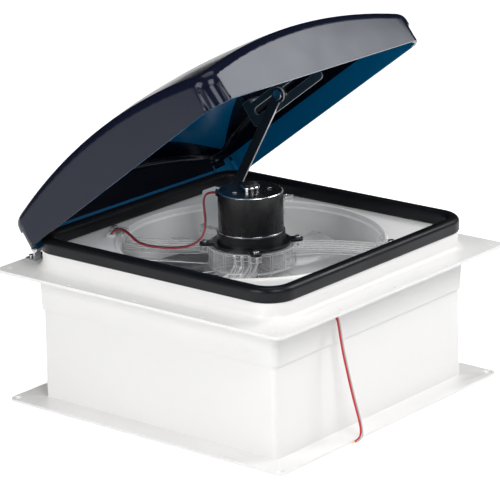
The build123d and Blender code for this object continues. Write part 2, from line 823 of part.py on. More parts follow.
blade_middle = (fan_top + fan_bottom) / 2
with BuildPart() as blade:
    for place, chord, pitch in (
        (fan_hub_foot_radius - fan_hub_wall / 2, blade_root_chord, blade_root_pitch),
        (throat_radius, blade_tip_chord, blade_tip_pitch),
    ):
        flow = Plane(
            origin=(place, 0, blade_middle),
            x_dir=(0, cos(radians(pitch)), sin(radians(pitch))),
            z_dir=(1, 0, 0),
        )
        with BuildSketch(flow):
            with BuildLine():
                lower = ThreePointArc((-chord / 2, 0), (0, blade_camber), (chord / 2, 0))
                upper = ThreePointArc(
                    (-chord / 2, blade_thickness / 2),
                    (0, blade_camber + blade_thickness),
                    (chord / 2, blade_thickness / 2),
                )
                Line(lower @ 0, upper @ 0)
                Line(lower @ 1, upper @ 1)
            make_face()
    loft()
    with BuildSketch(Plane.XY.offset(fan_bottom)):
        Circle(fan_radius)
        Circle(fan_hub_foot_radius - fan_hub_wall / 2, mode=Mode.SUBTRACT)
    extrude(amount=fan_hub_height, mode=Mode.INTERSECT)

with BuildPart() as fan:
    with BuildSketch(Plane.XZ):
        with BuildLine():
            Polyline(
                (shaft_radius, fan_top),
                (fan_hub_radius, fan_top),
                (fan_hub_foot_radius, fan_bottom),
                (fan_hub_foot_radius - fan_hub_wall, fan_bottom),
                (fan_hub_radius - fan_hub_wall, fan_top - fan_hub_wall),
                (fan_boss_radius, fan_top - fan_hub_wall),
                (fan_boss_radius, fan_bottom),
                (shaft_radius, fan_bottom),
                close=True,
            )
        make_face()
    revolve(axis=Axis.Z)
    with PolarLocations(0, blade_count):
        add(blade.part)
fan.part.label = "fan"
export_step(fan.part, "parts/fan.step")

with BuildPart() as fan_nut:
    with BuildSketch(Plane.XY.offset(fan_bottom - fan_nut_height)):
        RegularPolygon(fan_nut_width / 2, 6, major_radius=False)
        Circle(shaft_radius, mode=Mode.SUBTRACT)
    extrude(amount=fan_nut_height)
fan_nut.part.label = "fan_nut"
export_step(fan_nut.part, "parts/fan_nut.step")


# Lid dome: a drafted square under a spherical crown, with recessed corner pillars
def lid_block(inset):
    """The lid's form, all its faces moved inward by the inset."""
    half = lid_width / 2 - inset
    pillar_half = lid_width / 2 - lid_recess_depth - inset
    start = lid_recess_start - inset
    overrun = cut_overrun if inset else 0
    with BuildPart(lid_plane) as block:
        with BuildSketch(lid_plane.offset(-overrun)):
            RectangleRounded(2 * half, 2 * half, lid_skirt_corner - inset)
        extrude(amount=lid_crown_top + overrun, taper=lid_draft)
        with Locations((0, 0, lid_crown_top - lid_crown_radius)):
            Sphere(lid_crown_radius - inset, mode=Mode.INTERSECT)
        fillet(block.faces().sort_by(lid_axis)[-1].outer_wire().edges(), lid_shoulder - inset)
        with BuildSketch(lid_plane.offset(-overrun)):
            with Locations(*[(x * (start + half) / 2, y * (start + half) / 2)
                             for x in (-1, 1) for y in (-1, 1)]):
                Rectangle(half - start + cut_overrun, half - start + cut_overrun)
            RectangleRounded(2 * pillar_half, 2 * pillar_half, lid_pillar_round, mode=Mode.SUBTRACT)
        extrude(amount=lid_recess_height + inset + overrun, mode=Mode.SUBTRACT)
    return block.part


lid_outer = lid_block(0)
lid_inner = lid_block(lid_wall)
rail_middle_x = rail_inner_x + rail_foot_width / 2
post_places = [
    (rail_middle_x, rail_free_end + rail_foot_length / 2),
    (rail_middle_x, rail_hinge_end - rail_foot_length / 2),
]


def skirt_face(height):
    """Distance of the lid's skirt from its middle at a height above the rim."""
    return lid_width / 2 - height * tan(radians(lid_draft))


skirt_out = lid_plane.y_dir * cos(radians(lid_draft)) + lid_plane.z_dir * sin(radians(lid_draft))
leaf_screw_planes = [
    Plane(
        origin=lid_plane.from_local_coords(
            (
                side * hinge_place + end * hinge_screw_pitch / 2,
                skirt_face(hinge_leaf_screw_place) + hinge_sheet,
                hinge_leaf_screw_place,
            )
        ),
        x_dir=(1, 0, 0),
        z_dir=skirt_out,
    )
    for side in (-1, 1)
    for end in (-1, 1)
]
foot_screw_planes = [
    Plane(
        origin=lid_plane.from_local_coords((x, y, rail_foot_height - rail_thickness)),
        x_dir=(1, 0, 0),
        z_dir=-lid_plane.z_dir,
    )
    for x, y in post_places
]
foot_screw_length = 4 * rail_thickness

with BuildPart() as lid_dome:
    add(lid_outer)
    add(lid_inner, mode=Mode.SUBTRACT)
    for x, y in post_places:
        post_top = crown_height(hypot(x, y), lid_wall / 2)
        with BuildSketch(lid_plane.offset(rail_foot_height)):
            with Locations((x, y)):
                Circle(lid_post_radius)
        extrude(amount=post_top - rail_foot_height)
    with Locations(*leaf_screw_planes):
        Hole(small_shank_radius + running_gap, depth=hinge_sheet + lid_wall)
    with Locations(*foot_screw_planes):
        Hole(small_shank_radius, depth=foot_screw_length)
lid_dome.part.label = "lid_dome"
export_step(lid_dome.part, "parts/lid_dome.step")


# Hinges: leaves on the flange, leaves on the lid, pins and screws
hinge_rise = hinge_z - lid_closed_rim
middle_length = hinge_width * hinge_share
outer_length = (hinge_width - middle_length) / 2 - hinge_side_gap
with BuildPart() as hinge_base_leaves:
    for side in (-1, 1):
        first_start = side * hinge_place - hinge_width / 2
        for start in (first_start, first_start + hinge_width - outer_length):
            with BuildSketch(side_plane(start)):
                with Locations((hinge_web_start, flange_thickness)):
                    Rectangle(hinge_web, hinge_z - flange_thickness, align=(Align.MIN, Align.MIN))
                with Locations((hinge_y, hinge_z)):
                    Circle(knuckle_radius)
                    Circle(hinge_pin_radius + running_gap, mode=Mode.SUBTRACT)
            extrude(amount=outer_length)
        with BuildSketch(side_plane(side * hinge_place - hinge_width / 2)):
            with Locations((hinge_web_start, flange_thickness)):
                Rectangle(hinge_foot_end - hinge_web_start, hinge_sheet, align=(Align.MIN, Align.MIN))
        extrude(amount=hinge_width)
    with Locations(*hinge_screw_spots):
        Hole(screw_shank_radius + running_gap, depth=hinge_sheet)
hinge_base_leaves.part.label = "hinge_base_leaves"
export_step(hinge_base_leaves.part, "parts/hinge_base_leaves.step")

with BuildPart() as hinge_lid_leaves:
    for side in (-1, 1):
        knuckle_end = hinge_rise + knuckle_radius + 2 * piece_gap
        with BuildSketch(lid_side(side * hinge_place - middle_length / 2)):
            with BuildLine():
                Polyline(
                    (skirt_face(hinge_rise - hinge_sheet), hinge_rise - hinge_sheet),
                    (hinge_y, hinge_rise - hinge_sheet),
                    (hinge_y, hinge_rise + hinge_sheet),
                    (skirt_face(hinge_rise + hinge_sheet) + hinge_sheet, hinge_rise + hinge_sheet),
                    (skirt_face(hinge_leaf_height) + hinge_sheet, hinge_leaf_height),
                    (skirt_face(hinge_leaf_height), hinge_leaf_height),
                    close=True,
                )
            make_face()
            with Locations((hinge_y, hinge_rise)):
                Circle(knuckle_radius)
                Circle(hinge_pin_radius + running_gap, mode=Mode.SUBTRACT)
        extrude(amount=middle_length)
        with BuildSketch(lid_side(side * hinge_place - hinge_width / 2)):
            with BuildLine():
                Polyline(
                    (skirt_face(knuckle_end), knuckle_end),
                    (skirt_face(knuckle_end) + hinge_sheet, knuckle_end),
                    (skirt_face(hinge_leaf_height) + hinge_sheet, hinge_leaf_height),
                    (skirt_face(hinge_leaf_height), hinge_leaf_height),
                    close=True,
                )
            make_face()
        extrude(amount=hinge_width)
    with Locations(*leaf_screw_planes):
        Hole(small_shank_radius + running_gap, depth=hinge_sheet)
hinge_lid_leaves.part.label = "hinge_lid_leaves"
export_step(hinge_lid_leaves.part, "parts/hinge_lid_leaves.step")

with BuildPart() as hinge_pins:
    for side in (-1, 1):
        with BuildSketch(side_plane(side * hinge_place - hinge_width / 2)):
            with Locations((hinge_y, hinge_z)):
                Circle(hinge_pin_radius)
        extrude(amount=hinge_width)
hinge_pins.part.label = "hinge_pins"
export_step(hinge_pins.part, "parts/hinge_pins.step")

base_screw = pan_screw(
    screw_head_radius, screw_head_height, screw_shank_radius, hinge_sheet + flange_thickness
)
with BuildPart() as hinge_base_screws:
    with Locations(*hinge_screw_spots):
        add(base_screw)
hinge_base_screws.part.label = "hinge_base_screws"
export_step(hinge_base_screws.part, "parts/hinge_base_screws.step")

leaf_screw = pan_screw(small_head_radius, small_head_height, small_shank_radius, hinge_sheet + lid_wall)
with BuildPart() as hinge_lid_screws:
    with Locations(*leaf_screw_planes):
        add(leaf_screw)
hinge_lid_screws.part.label = "hinge_lid_screws"
export_step(hinge_lid_screws.part, "parts/hinge_lid_screws.step")


# Slide rail: a slotted plate with a leg and a bent foot at each end
rail_length = rail_hinge_end - rail_free_end
with BuildPart() as slide_rail:
    with BuildSketch(lid_side(rail_inner_x)) as rail_face:
        with Locations((rail_free_end, rail_bottom)):
            Rectangle(rail_length, rail_top - rail_bottom, align=(Align.MIN, Align.MIN))
        fillet(rail_face.vertices().group_by(Axis.Y)[0], rail_corner)
        for leg_start in (rail_free_end, rail_hinge_end - rail_foot_length):
            with Locations((leg_start, rail_bottom + rail_corner)):
                Rectangle(rail_foot_length, rail_foot_height - rail_bottom - rail_corner,
                          align=(Align.MIN, Align.MIN))
        with Locations(((slot_free_end + slot_hinge_end) / 2, slot_height)):
            SlotOverall(slot_hinge_end - slot_free_end, 2 * (arm_pin_radius + slot_gap),
                        mode=Mode.SUBTRACT)
    extrude(amount=rail_thickness)
    with BuildSketch(lid_plane.offset(rail_foot_height - rail_thickness)):
        for leg_start in (rail_free_end, rail_hinge_end - rail_foot_length):
            with Locations((rail_inner_x, leg_start)):
                Rectangle(rail_foot_width, rail_foot_length, align=(Align.MIN, Align.MIN))
    extrude(amount=rail_thickness)
    with Locations(*foot_screw_planes):
        Hole(small_shank_radius + running_gap, depth=rail_thickness)
slide_rail.part.label = "slide_rail"
export_step(slide_rail.part, "parts/slide_rail.step")

foot_screw = pan_screw(small_head_radius, small_head_height, small_shank_radius, foot_screw_length)
with BuildPart() as rail_screws:
    with Locations(*foot_screw_planes):
        add(foot_screw)
rail_screws.part.label = "rail_screws"
export_step(rail_screws.part, "parts/rail_screws.step")


# Lift arm with its pin and clip, and its output shaft and nut
with BuildPart() as lift_arm:
    with BuildSketch(side_plane(arm_inner_x)):
        with Locations(((arm_pivot_y + arm_pin_y) / 2, (arm_pivot_z + arm_pin_z) / 2)):
            Rectangle(arm_length, arm_width, rotation=180 - arm_rise)
        with Locations((arm_pivot_y, arm_pivot_z), (arm_pin_y, arm_pin_z)):
            Circle(arm_end_radius)
        with Locations((arm_pivot_y, arm_pivot_z)):
            Circle(gearbox_shaft_radius, mode=Mode.SUBTRACT)
        with Locations((arm_pin_y, arm_pin_z)):
            Circle(arm_pin_radius, mode=Mode.SUBTRACT)
    extrude(amount=arm_sheet)
lift_arm.part.label = "lift_arm"
export_step(lift_arm.part, "parts/lift_arm.step")

clip_start = rail_outer_x + slot_gap
pin_end = clip_start + arm_clip_thickness + slot_gap
with BuildPart() as lift_pin:
    with BuildSketch(side_plane(arm_inner_x - arm_pin_head_height)):
        with Locations((arm_pin_y, arm_pin_z)):
            Circle(arm_pin_head_radius)
    extrude(amount=arm_pin_head_height)
    with BuildSketch(side_plane(arm_inner_x)):
        with Locations((arm_pin_y, arm_pin_z)):
            Circle(arm_pin_radius)
    extrude(amount=pin_end - arm_inner_x)
lift_pin.part.label = "lift_pin"
export_step(lift_pin.part, "parts/lift_pin.step")

with BuildPart() as lift_pin_clip:
    with BuildSketch(side_plane(clip_start)):
        with Locations((arm_pin_y, arm_pin_z)):
            Circle(arm_clip_radius)
            Circle(arm_pin_radius, mode=Mode.SUBTRACT)
    extrude(amount=arm_clip_thickness)
lift_pin_clip.part.label = "lift_pin_clip"
export_step(lift_pin_clip.part, "parts/lift_pin_clip.step")

shaft_start = gearbox_start_x + gearbox_wall + piece_gap
shaft_end = arm_outer_x + arm_sheet
with BuildPart() as lift_shaft:
    with BuildSketch(side_plane(shaft_start)):
        with Locations((arm_pivot_y, arm_pivot_z)):
            Circle(gearbox_shaft_radius)
    extrude(amount=shaft_end - shaft_start)
lift_shaft.part.label = "lift_shaft"
export_step(lift_shaft.part, "parts/lift_shaft.step")

with BuildPart() as lift_shaft_nut:
    with BuildSketch(side_plane(arm_outer_x)):
        with Locations((arm_pivot_y, arm_pivot_z)):
            RegularPolygon(fan_nut_width / 2, 6, major_radius=False)
            Circle(gearbox_shaft_radius, mode=Mode.SUBTRACT)
    extrude(amount=arm_sheet)
lift_shaft_nut.part.label = "lift_shaft_nut"
export_step(lift_shaft_nut.part, "parts/lift_shaft_nut.step")


# Lift gearbox on the spider's platform, with its motor inside
gearbox_length = gearbox_end_y - gearbox_start_y
gearbox_height = gearbox_top - hub_top
gearbox_middle = ((gearbox_start_y + gearbox_end_y) / 2, (gearbox_top + hub_top) / 2)
cover_start = gearbox_end_x - gearbox_cover
cover_screws = [
    (
        gearbox_middle[0] + across * (gearbox_length / 2 - gearbox_round),
        gearbox_middle[1] + up * (gearbox_height / 2 - gearbox_round),
    )
    for across in (-1, 1)
    for up in (-1, 1)
]
with BuildPart() as lift_gearbox:
    with BuildSketch(side_plane(gearbox_start_x)):
        with Locations(gearbox_middle):
            RectangleRounded(gearbox_length, gearbox_height, gearbox_round)
    extrude(amount=cover_start - gearbox_start_x)
    with BuildSketch(side_plane(gearbox_start_x + gearbox_wall)):
        with Locations(gearbox_middle):
            RectangleRounded(gearbox_length - 2 * gearbox_wall, gearbox_height - 2 * gearbox_wall,
                             gearbox_round - gearbox_wall)
    extrude(amount=cover_start - gearbox_start_x - gearbox_wall, mode=Mode.SUBTRACT)
    with BuildSketch(side_plane(gearbox_start_x + gearbox_wall)):
        with Locations(*cover_screws):
            Circle(gearbox_round)
        with Locations((arm_pivot_y, arm_pivot_z)):
            Circle(gearbox_shaft_radius + gearbox_wall)
    extrude(amount=gearbox_seat_depth)
    with BuildSketch(side_plane(gearbox_start_x + gearbox_wall + gearbox_seat_depth)):
        with Locations(*cover_screws):
            Circle(gearbox_round)
    extrude(amount=cover_start - gearbox_start_x - gearbox_wall - gearbox_seat_depth)
    with BuildSketch(side_plane(gearbox_start_x + gearbox_wall)):
        with Locations((arm_pivot_y, arm_pivot_z)):
            Circle(gearbox_shaft_radius + running_gap)
    extrude(amount=gearbox_seat_depth, mode=Mode.SUBTRACT)
    with BuildSketch(side_plane(gearbox_start_x)):
        with Locations(gearbox_middle):
            Rectangle(2 * gearbox_length, 2 * gearbox_height)
            RectangleRounded(gearbox_length, gearbox_height, gearbox_round, mode=Mode.SUBTRACT)
    extrude(amount=cover_start - gearbox_start_x, mode=Mode.SUBTRACT)
    with BuildSketch(side_plane(cover_start)):
        with Locations(*cover_screws):
            Circle(small_shank_radius)
    extrude(amount=-gearbox_seat_depth, mode=Mode.SUBTRACT)
lift_gearbox.part.label = "lift_gearbox"
export_step(lift_gearbox.part, "parts/lift_gearbox.step")

with BuildPart() as lift_gearbox_cover:
    with BuildSketch(side_plane(cover_start)):
        with Locations(gearbox_middle):
            RectangleRounded(gearbox_length, gearbox_height, gearbox_round)
        with Locations((arm_pivot_y, arm_pivot_z)):
            Circle(gearbox_shaft_radius + running_gap, mode=Mode.SUBTRACT)
        with Locations(*cover_screws):
            Circle(small_shank_radius + running_gap, mode=Mode.SUBTRACT)
    extrude(amount=gearbox_cover)
lift_gearbox_cover.part.label = "lift_gearbox_cover"
export_step(lift_gearbox_cover.part, "parts/lift_gearbox_cover.step")

cover_screw = pan_screw(
    small_head_radius, small_head_height, small_shank_radius, gearbox_cover + gearbox_seat_depth
)
with BuildPart() as lift_cover_screws:
    with Locations(side_plane(gearbox_end_x)):
        with Locations(*cover_screws):
            add(cover_screw)
lift_cover_screws.part.label = "lift_cover_screws"
export_step(lift_cover_screws.part, "parts/lift_cover_screws.step")

lift_motor_x = (gearbox_start_x + gearbox_wall + cover_start) / 2
lift_motor_z = hub_top + gearbox_wall + piece_gap + lift_motor_radius
with BuildPart() as lift_motor:
    with Locations((lift_motor_x, gearbox_middle[0], lift_motor_z)):
        Cylinder(lift_motor_radius, lift_motor_length, rotation=(90, 0, 0))
lift_motor.part.label = "lift_motor"
export_step(lift_motor.part, "parts/lift_motor.step")


# Control unit under the deck's corner: housing, board, switches, panel and four buttons
control_x = -control_centre
control_y = control_centre
control_inner = control_width - 2 * control_wall
panel_bottom = control_bottom - control_panel_thickness
button_places = [
    (control_x + column * button_pitch / 2, control_y + row * button_pitch / 2)
    for row in (1, -1)
    for column in (-1, 1)
]
button_flange_bottom = control_bottom + piece_gap
button_flange_top = button_flange_bottom + button_flange_thickness
board_bottom = control_bottom + control_board_height
with BuildPart() as control_housing:
    with BuildSketch(Plane.XY.offset(control_bottom)):
        with Locations((control_x, control_y)):
            Rectangle(control_width, control_width)
    extrude(amount=deck_bottom - control_bottom)
    with BuildSketch(Plane.XY.offset(control_bottom)):
        with Locations((control_x, control_y)):
            Rectangle(control_inner, control_inner)
    extrude(amount=deck_bottom - control_bottom - control_wall, mode=Mode.SUBTRACT)
control_housing.part.label = "control_housing"
export_step(control_housing.part, "parts/control_housing.step")

with BuildPart() as control_panel:
    with BuildSketch(Plane.XY.offset(panel_bottom)):
        with Locations((control_x, control_y)):
            Rectangle(control_width, control_width)
        with Locations(*button_places):
            Circle(button_radius + piece_gap, mode=Mode.SUBTRACT)
    extrude(amount=control_panel_thickness)
control_panel.part.label = "control_panel"
export_step(control_panel.part, "parts/control_panel.step")

with BuildPart() as control_board:
    with BuildSketch(Plane.XY.offset(board_bottom)):
        with Locations((control_x, control_y)):
            Rectangle(control_inner - 2 * piece_gap, control_inner - 2 * piece_gap)
    extrude(amount=control_board_thickness)
control_board.part.label = "control_board"
export_step(control_board.part, "parts/control_board.step")

switch_bottom = button_flange_top + button_travel + piece_gap
with BuildPart() as control_switches:
    with BuildSketch(Plane.XY.offset(switch_bottom)):
        with Locations(*button_places):
            Circle(button_spring_radius)
    extrude(amount=board_bottom - switch_bottom)
control_switches.part.label = "control_switches"
export_step(control_switches.part, "parts/control_switches.step")

for button_name, place in zip(("power", "lid", "faster", "slower"), button_places):
    with BuildPart() as button:
        with BuildSketch(Plane.XY.offset(panel_bottom - button_reach)):
            with Locations(place):
                Circle(button_radius)
        extrude(amount=button_flange_bottom - panel_bottom + button_reach)
        fillet(button.edges().group_by(Axis.Z)[0], button_reach / 2)
        with BuildSketch(Plane.XY.offset(button_flange_bottom)):
            with Locations(place):
                Circle(button_flange_radius)
        extrude(amount=button_flange_thickness)
    button.part.label = "button_" + button_name
    export_step(button.part, "parts/button_" + button_name + ".step")


# Grommets where the leads pass the deck and the skirt
with BuildPart() as deck_grommet:
    with BuildSketch(Plane.XY.offset(deck_top)):
        with Locations((deck_grommet_x, deck_grommet_y)):
            Circle(deck_grommet_radius)
            Circle(grommet_bore, mode=Mode.SUBTRACT)
    extrude(amount=deck_grommet_height)
    with BuildSketch(Plane.XY.offset(deck_bottom)):
        with Locations((deck_grommet_x, deck_grommet_y)):
            Circle(deck_grommet_radius - grommet_groove - running_gap)
            Circle(grommet_bore, mode=Mode.SUBTRACT)
    extrude(amount=mould_wall)
deck_grommet.part.label = "deck_grommet"
export_step(deck_grommet.part, "parts/deck_grommet.step")

skirt_front = Plane(origin=(0, -skirt_width / 2, 0), x_dir=(1, 0, 0), z_dir=(0, -1, 0))
with BuildPart() as skirt_grommet:
    with BuildSketch(skirt_front):
        with Locations((skirt_grommet_x, skirt_grommet_z)):
            Circle(skirt_grommet_radius)
            Circle(grommet_bore, mode=Mode.SUBTRACT)
    extrude(amount=skirt_grommet_reach)
    with BuildSketch(skirt_front):
        with Locations((skirt_grommet_x, skirt_grommet_z)):
            Circle(skirt_grommet_radius - grommet_groove - running_gap)
            Circle(grommet_bore, mode=Mode.SUBTRACT)
    extrude(amount=-skirt_wall)
skirt_grommet.part.label = "skirt_grommet"
export_step(skirt_grommet.part, "parts/skirt_grommet.step")


# Leads: each is a pair of wires side by side
def beside(points, step):
    """The same route moved sideways for the pair's second wire."""
    return [(x + step[0], y + step[1], z) for x, y, z in points]


motor_lead_step = (2.4, 1.4)
motor_lead_points = [
    (-21.0, 33.9, 78.0),
    (-26.0, 42.5, 78.0),
    (-31.0, 44.5, 70.5),
    (-34.0, 40.5, 58.5),
    (-36.6, 37.0, 46.0),
    (-43.0, 34.0, 34.0),
    (-53.0, 37.5, 24.5),
    (-65.0, 47.5, 20.8),
    (-76.0, 62.5, 20.4),
    (-82.0, 81.5, 20.4),
    (-82.6, 101.5, 22.0),
    (-79.6, 115.5, 28.5),
    (-78.6, 127.5, 32.4),
    (-82.0, 136.0, 31.4),
    (-85.1, 139.4, 26.5),
    (-85.1, 139.4, 20.8),
]
power_lead_step = (2.4, 0.0)
power_end_step = (0.8, -2.5)
power_lead_points = [
    (-80.2, -177.2, -10.0),
    (-79.8, -183.0, -12.0),
    (-79.0, -185.4, -18.0),
    (-77.8, -186.0, -26.5),
    (-76.8, -187.4, -40.0),
    (-75.8, -189.8, -56.0),
    (-74.2, -192.6, -72.0),
    (-73.2, -195.6, -87.0),
    (-71.8, -198.4, -101.5),
    (-70.2, -201.4, -116.0),
    (-67.8, -203.8, -130.0),
    (-66.4, -205.4, -141.5),
    (-67.2, -205.6, -149.0),
    (-71.4, -205.0, -153.0),
    (-76.2, -204.6, -153.6),
]
power_lead_pair = beside(power_lead_points[:-3], power_lead_step)
power_lead_pair += beside(power_lead_points[-3:], power_end_step)
for lead_name, points in (
    ("motor_lead_red", motor_lead_points),
    ("motor_lead_black", beside(motor_lead_points, motor_lead_step)),
    ("power_lead_red", power_lead_points),
    ("power_lead_white", power_lead_pair),
):
    export_step(lead(points, lead_name), "parts/" + lead_name + ".step")
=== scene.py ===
"""A powered caravan roof vent with its lid raised, dressed on its frame and set on a pale studio floor."""

import json
import math

import bpy
from mathutils import Matrix, Vector


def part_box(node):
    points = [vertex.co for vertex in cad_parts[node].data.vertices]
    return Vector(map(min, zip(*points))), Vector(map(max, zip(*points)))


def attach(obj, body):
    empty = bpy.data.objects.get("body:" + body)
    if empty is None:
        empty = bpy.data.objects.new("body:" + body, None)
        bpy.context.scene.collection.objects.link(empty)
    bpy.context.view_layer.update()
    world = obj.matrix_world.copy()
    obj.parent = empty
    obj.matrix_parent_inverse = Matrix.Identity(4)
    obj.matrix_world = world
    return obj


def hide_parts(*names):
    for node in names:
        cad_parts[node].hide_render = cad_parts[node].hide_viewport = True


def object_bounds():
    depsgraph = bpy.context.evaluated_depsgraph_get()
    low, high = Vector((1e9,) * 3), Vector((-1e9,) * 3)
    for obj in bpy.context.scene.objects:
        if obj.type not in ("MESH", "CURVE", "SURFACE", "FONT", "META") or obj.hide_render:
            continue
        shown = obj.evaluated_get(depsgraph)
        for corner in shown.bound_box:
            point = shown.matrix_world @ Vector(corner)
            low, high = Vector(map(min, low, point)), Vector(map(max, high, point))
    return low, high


bl_info = {
    "name": "Caravan roof vent",
    "version": (1, 0, 0),
    "blender": (4, 5, 0),
    "location": "3D View > Sidebar > Roof vent",
    "description": "Dresses a powered caravan roof vent piece by piece and sets up its studio",
    "category": "Object",
}

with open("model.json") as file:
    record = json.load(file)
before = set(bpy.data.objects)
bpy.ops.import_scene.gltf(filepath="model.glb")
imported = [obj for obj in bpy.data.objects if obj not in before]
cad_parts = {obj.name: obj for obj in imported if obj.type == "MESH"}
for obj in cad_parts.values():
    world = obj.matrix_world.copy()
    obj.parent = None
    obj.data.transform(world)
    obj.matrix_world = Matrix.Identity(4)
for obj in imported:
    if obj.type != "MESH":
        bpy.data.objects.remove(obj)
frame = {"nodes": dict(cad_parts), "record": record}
CAD_BOX = [list(corner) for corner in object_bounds()]
SLOT_OF = {part["node"]: part["material_slot"] for part in frame["record"]["subparts"]}
BODY_OF = {node: body for body, nodes in frame["record"]["behaviour"]["bodies"].items() for node in nodes}

# The open lid's own axes: the way its crown faces and the way to its hinge, then its rim at the hinge side
# and a point in its middle a little below the rim
LID_TURN = math.radians(36.35)
LID_REACH = 0.1917
LID_UP = Vector((0, math.sin(LID_TURN), math.cos(LID_TURN)))
LID_BACK = Vector((0, math.cos(LID_TURN), -math.sin(LID_TURN)))
LID_RIM = Vector((0, LID_REACH, 0.018)) - 0.003 * LID_UP
LID_HEART = LID_RIM - LID_REACH * LID_BACK - 0.02 * LID_UP

# Where a painted blue stands for light coming through the lid, in metres: a band above the rim, higher on the
# two side skirts, and a part of the crown between two slanting lines, each with its slope and its offset
LID_BAND = 0.019
LID_SIDE_BAND = 0.007
LID_FAR_LINE = (0.5, 0.193)
LID_HINGE_LINE = (0.23, -0.066)

# Parts of the lid by how their faces point: the crown's more upward than the first, the skirts' less than the
# second, and the side skirts' more sideways than the third
LID_CROWN_UP = 0.9
LID_SKIRT_UP = 0.45
LID_SIDE_OUT = 0.8

# The share of the lamps' light that the lid lets by
LID_LETS_BY = 0.45

# Clear plastic: how early a face counts as turned away and takes the painted shade, the radius and sharpness
# of the painted highlights on its edges, and how much they hide
CLEAR_BLEND = 0.3
CLEAR_HIGHLIGHT = (0.0019, 5.0)
CLEAR_RIM = 0.75

# How squarely a face of the lift arm's sheet points sideways to stay dark; narrower faces get a painted
# highlight
ARM_FLAT = 0.75

# The camera: angles round and above the vent and its roll, in degrees, the point it faces, and its lens
CAMERA_ANGLES = (-50.14, 17.16, -1.38)
CAMERA_TARGET = Vector((-0.00596, -0.00261, 0.01243))
CAMERA_LENS = 202.6
CAMERA_SENSOR = 36

# The stage: lamps by name with place, size and power, and the strengths of the floor and the world
LAMPS = (
    ("Left box", (-2.6, 0.3, 1.1), (1.6, 1.4), 44),
    ("Right box", (1.64, -1.32, 1.6), (1.2, 1.1), 37),
    ("Front box", (-1.1, -2.5, 2.2), (1.6, 1.6), 58),
    ("Top box", (0.2, 0.4, 2.6), (1.8, 1.8), 18),
)
LAMP_TARGET = Vector((0, 0, 0.02))
FLOOR_GLOW = 0.7
WORLD_LIGHT = 0.72
WORLD_HORIZON = 0.03
WORLD_MIRRORED = (("From Min", -0.9), ("From Max", 0.7), ("To Min", 0.18), ("To Max", 0.06))

# Welding of a solid's points, in metres, and the turn up to which its faces count as one flat
WELD = 0.000005
FLAT = math.radians(0.2)

# The insect mesh: the sides of its round sheet, and the width of its plain rim in metres
MESH_SIDES = 96
MESH_RIM = 0.003

# Bare copper strands at a wire's end: how many, how far apart in radii, and how deep they start in the wire
STRANDS = 7
STRAND_SPREAD = 2.1
STRAND_ROOT = 0.0006

# Routes of the wires, in metres: each is the first wire of its pair
MOTOR_WIRE = [
    (-0.021, 0.0339, 0.078),
    (-0.026, 0.0425, 0.078),
    (-0.031, 0.0445, 0.0705),
    (-0.034, 0.0405, 0.0585),
    (-0.0366, 0.037, 0.046),
    (-0.043, 0.034, 0.034),
    (-0.053, 0.0375, 0.0245),
    (-0.065, 0.0475, 0.0208),
    (-0.076, 0.0625, 0.0204),
    (-0.082, 0.0815, 0.0204),
    (-0.0826, 0.1015, 0.022),
    (-0.0796, 0.1155, 0.0285),
    (-0.0786, 0.1275, 0.0324),
    (-0.082, 0.136, 0.0314),
    (-0.0851, 0.1394, 0.0265),
    (-0.0851, 0.1394, 0.0208),
]
POWER_WIRE = [
    (-0.0802, -0.1772, -0.01),
    (-0.0798, -0.183, -0.012),
    (-0.079, -0.1854, -0.018),
    (-0.0778, -0.186, -0.0265),
    (-0.0768, -0.1874, -0.04),
    (-0.0758, -0.1898, -0.056),
    (-0.0742, -0.1926, -0.072),
    (-0.0732, -0.1956, -0.087),
    (-0.0718, -0.1984, -0.1015),
    (-0.0702, -0.2014, -0.116),
    (-0.0678, -0.2038, -0.13),
    (-0.0664, -0.2054, -0.1415),
    (-0.0672, -0.2056, -0.149),
    (-0.0714, -0.205, -0.153),
    (-0.0762, -0.2046, -0.1536),
]

# Lengths of the wires, and the steps to the second wire of a pair, which differ over the power lead's end
MOTOR_WIRE_STEP = (0.0024, 0.0014)
POWER_RED_LENGTH = 0.156
POWER_WHITE_LENGTH = 0.1567
POWER_WIRE_STEP = (0.0024, 0.0)
POWER_WIRE_END = 3
POWER_WIRE_END_STEP = (0.0008, -0.0025)


def length_property(name, description, default):
    return bpy.props.FloatProperty(
        name=name, description=description, default=default, min=0, precision=5, unit="LENGTH",
        subtype="DISTANCE",
    )


def colour_property(name, description, default):
    return bpy.props.FloatVectorProperty(
        name=name, description=description, default=default, min=0, max=1, size=3, subtype="COLOR"
    )


class VentSizes(bpy.types.PropertyGroup):
    """Sizes of the vent's finish"""

    moulding_round: length_property("Moulding edge", "Rounding on the white mouldings' edges", 0.0008)
    gasket_round: length_property("Gasket edge", "Rounding on the rim gasket's edges", 0.0035)
    metal_round: length_property("Metal edge", "Rounding on sheet metal edges", 0.0003)
    # A painted highlight: the bright ring of plated steel round the can's rounded top rim
    can_rim_highlight: length_property("Can rim", "Width of the bright worn rim round the motor can's top", 0.0013)
    clear_round: length_property("Clear edge", "Rounding on the clear mouldings' edges", 0.0005)
    wire_diameter: length_property("Wire", "Diameter over a wire's insulation", 0.0022)
    strand_diameter: length_property("Strand", "Diameter of one bare copper strand", 0.00036)
    strand_length: length_property("Bare end", "Length of a wire's bare end", 0.005)
    mesh_pitch: length_property("Mesh pitch", "Distance between two threads of the insect mesh", 0.0018)
    mesh_thread: length_property("Mesh thread", "Thickness of a thread of the insect mesh", 0.0005)
    camera_distance: length_property("Camera distance", "From the camera to the vent", 3.2139)
    floor_gap: length_property("Floor gap", "Between the ceiling flange and the floor", 0.0005)
    floor_size: length_property("Floor", "Width of the studio floor", 14.0)


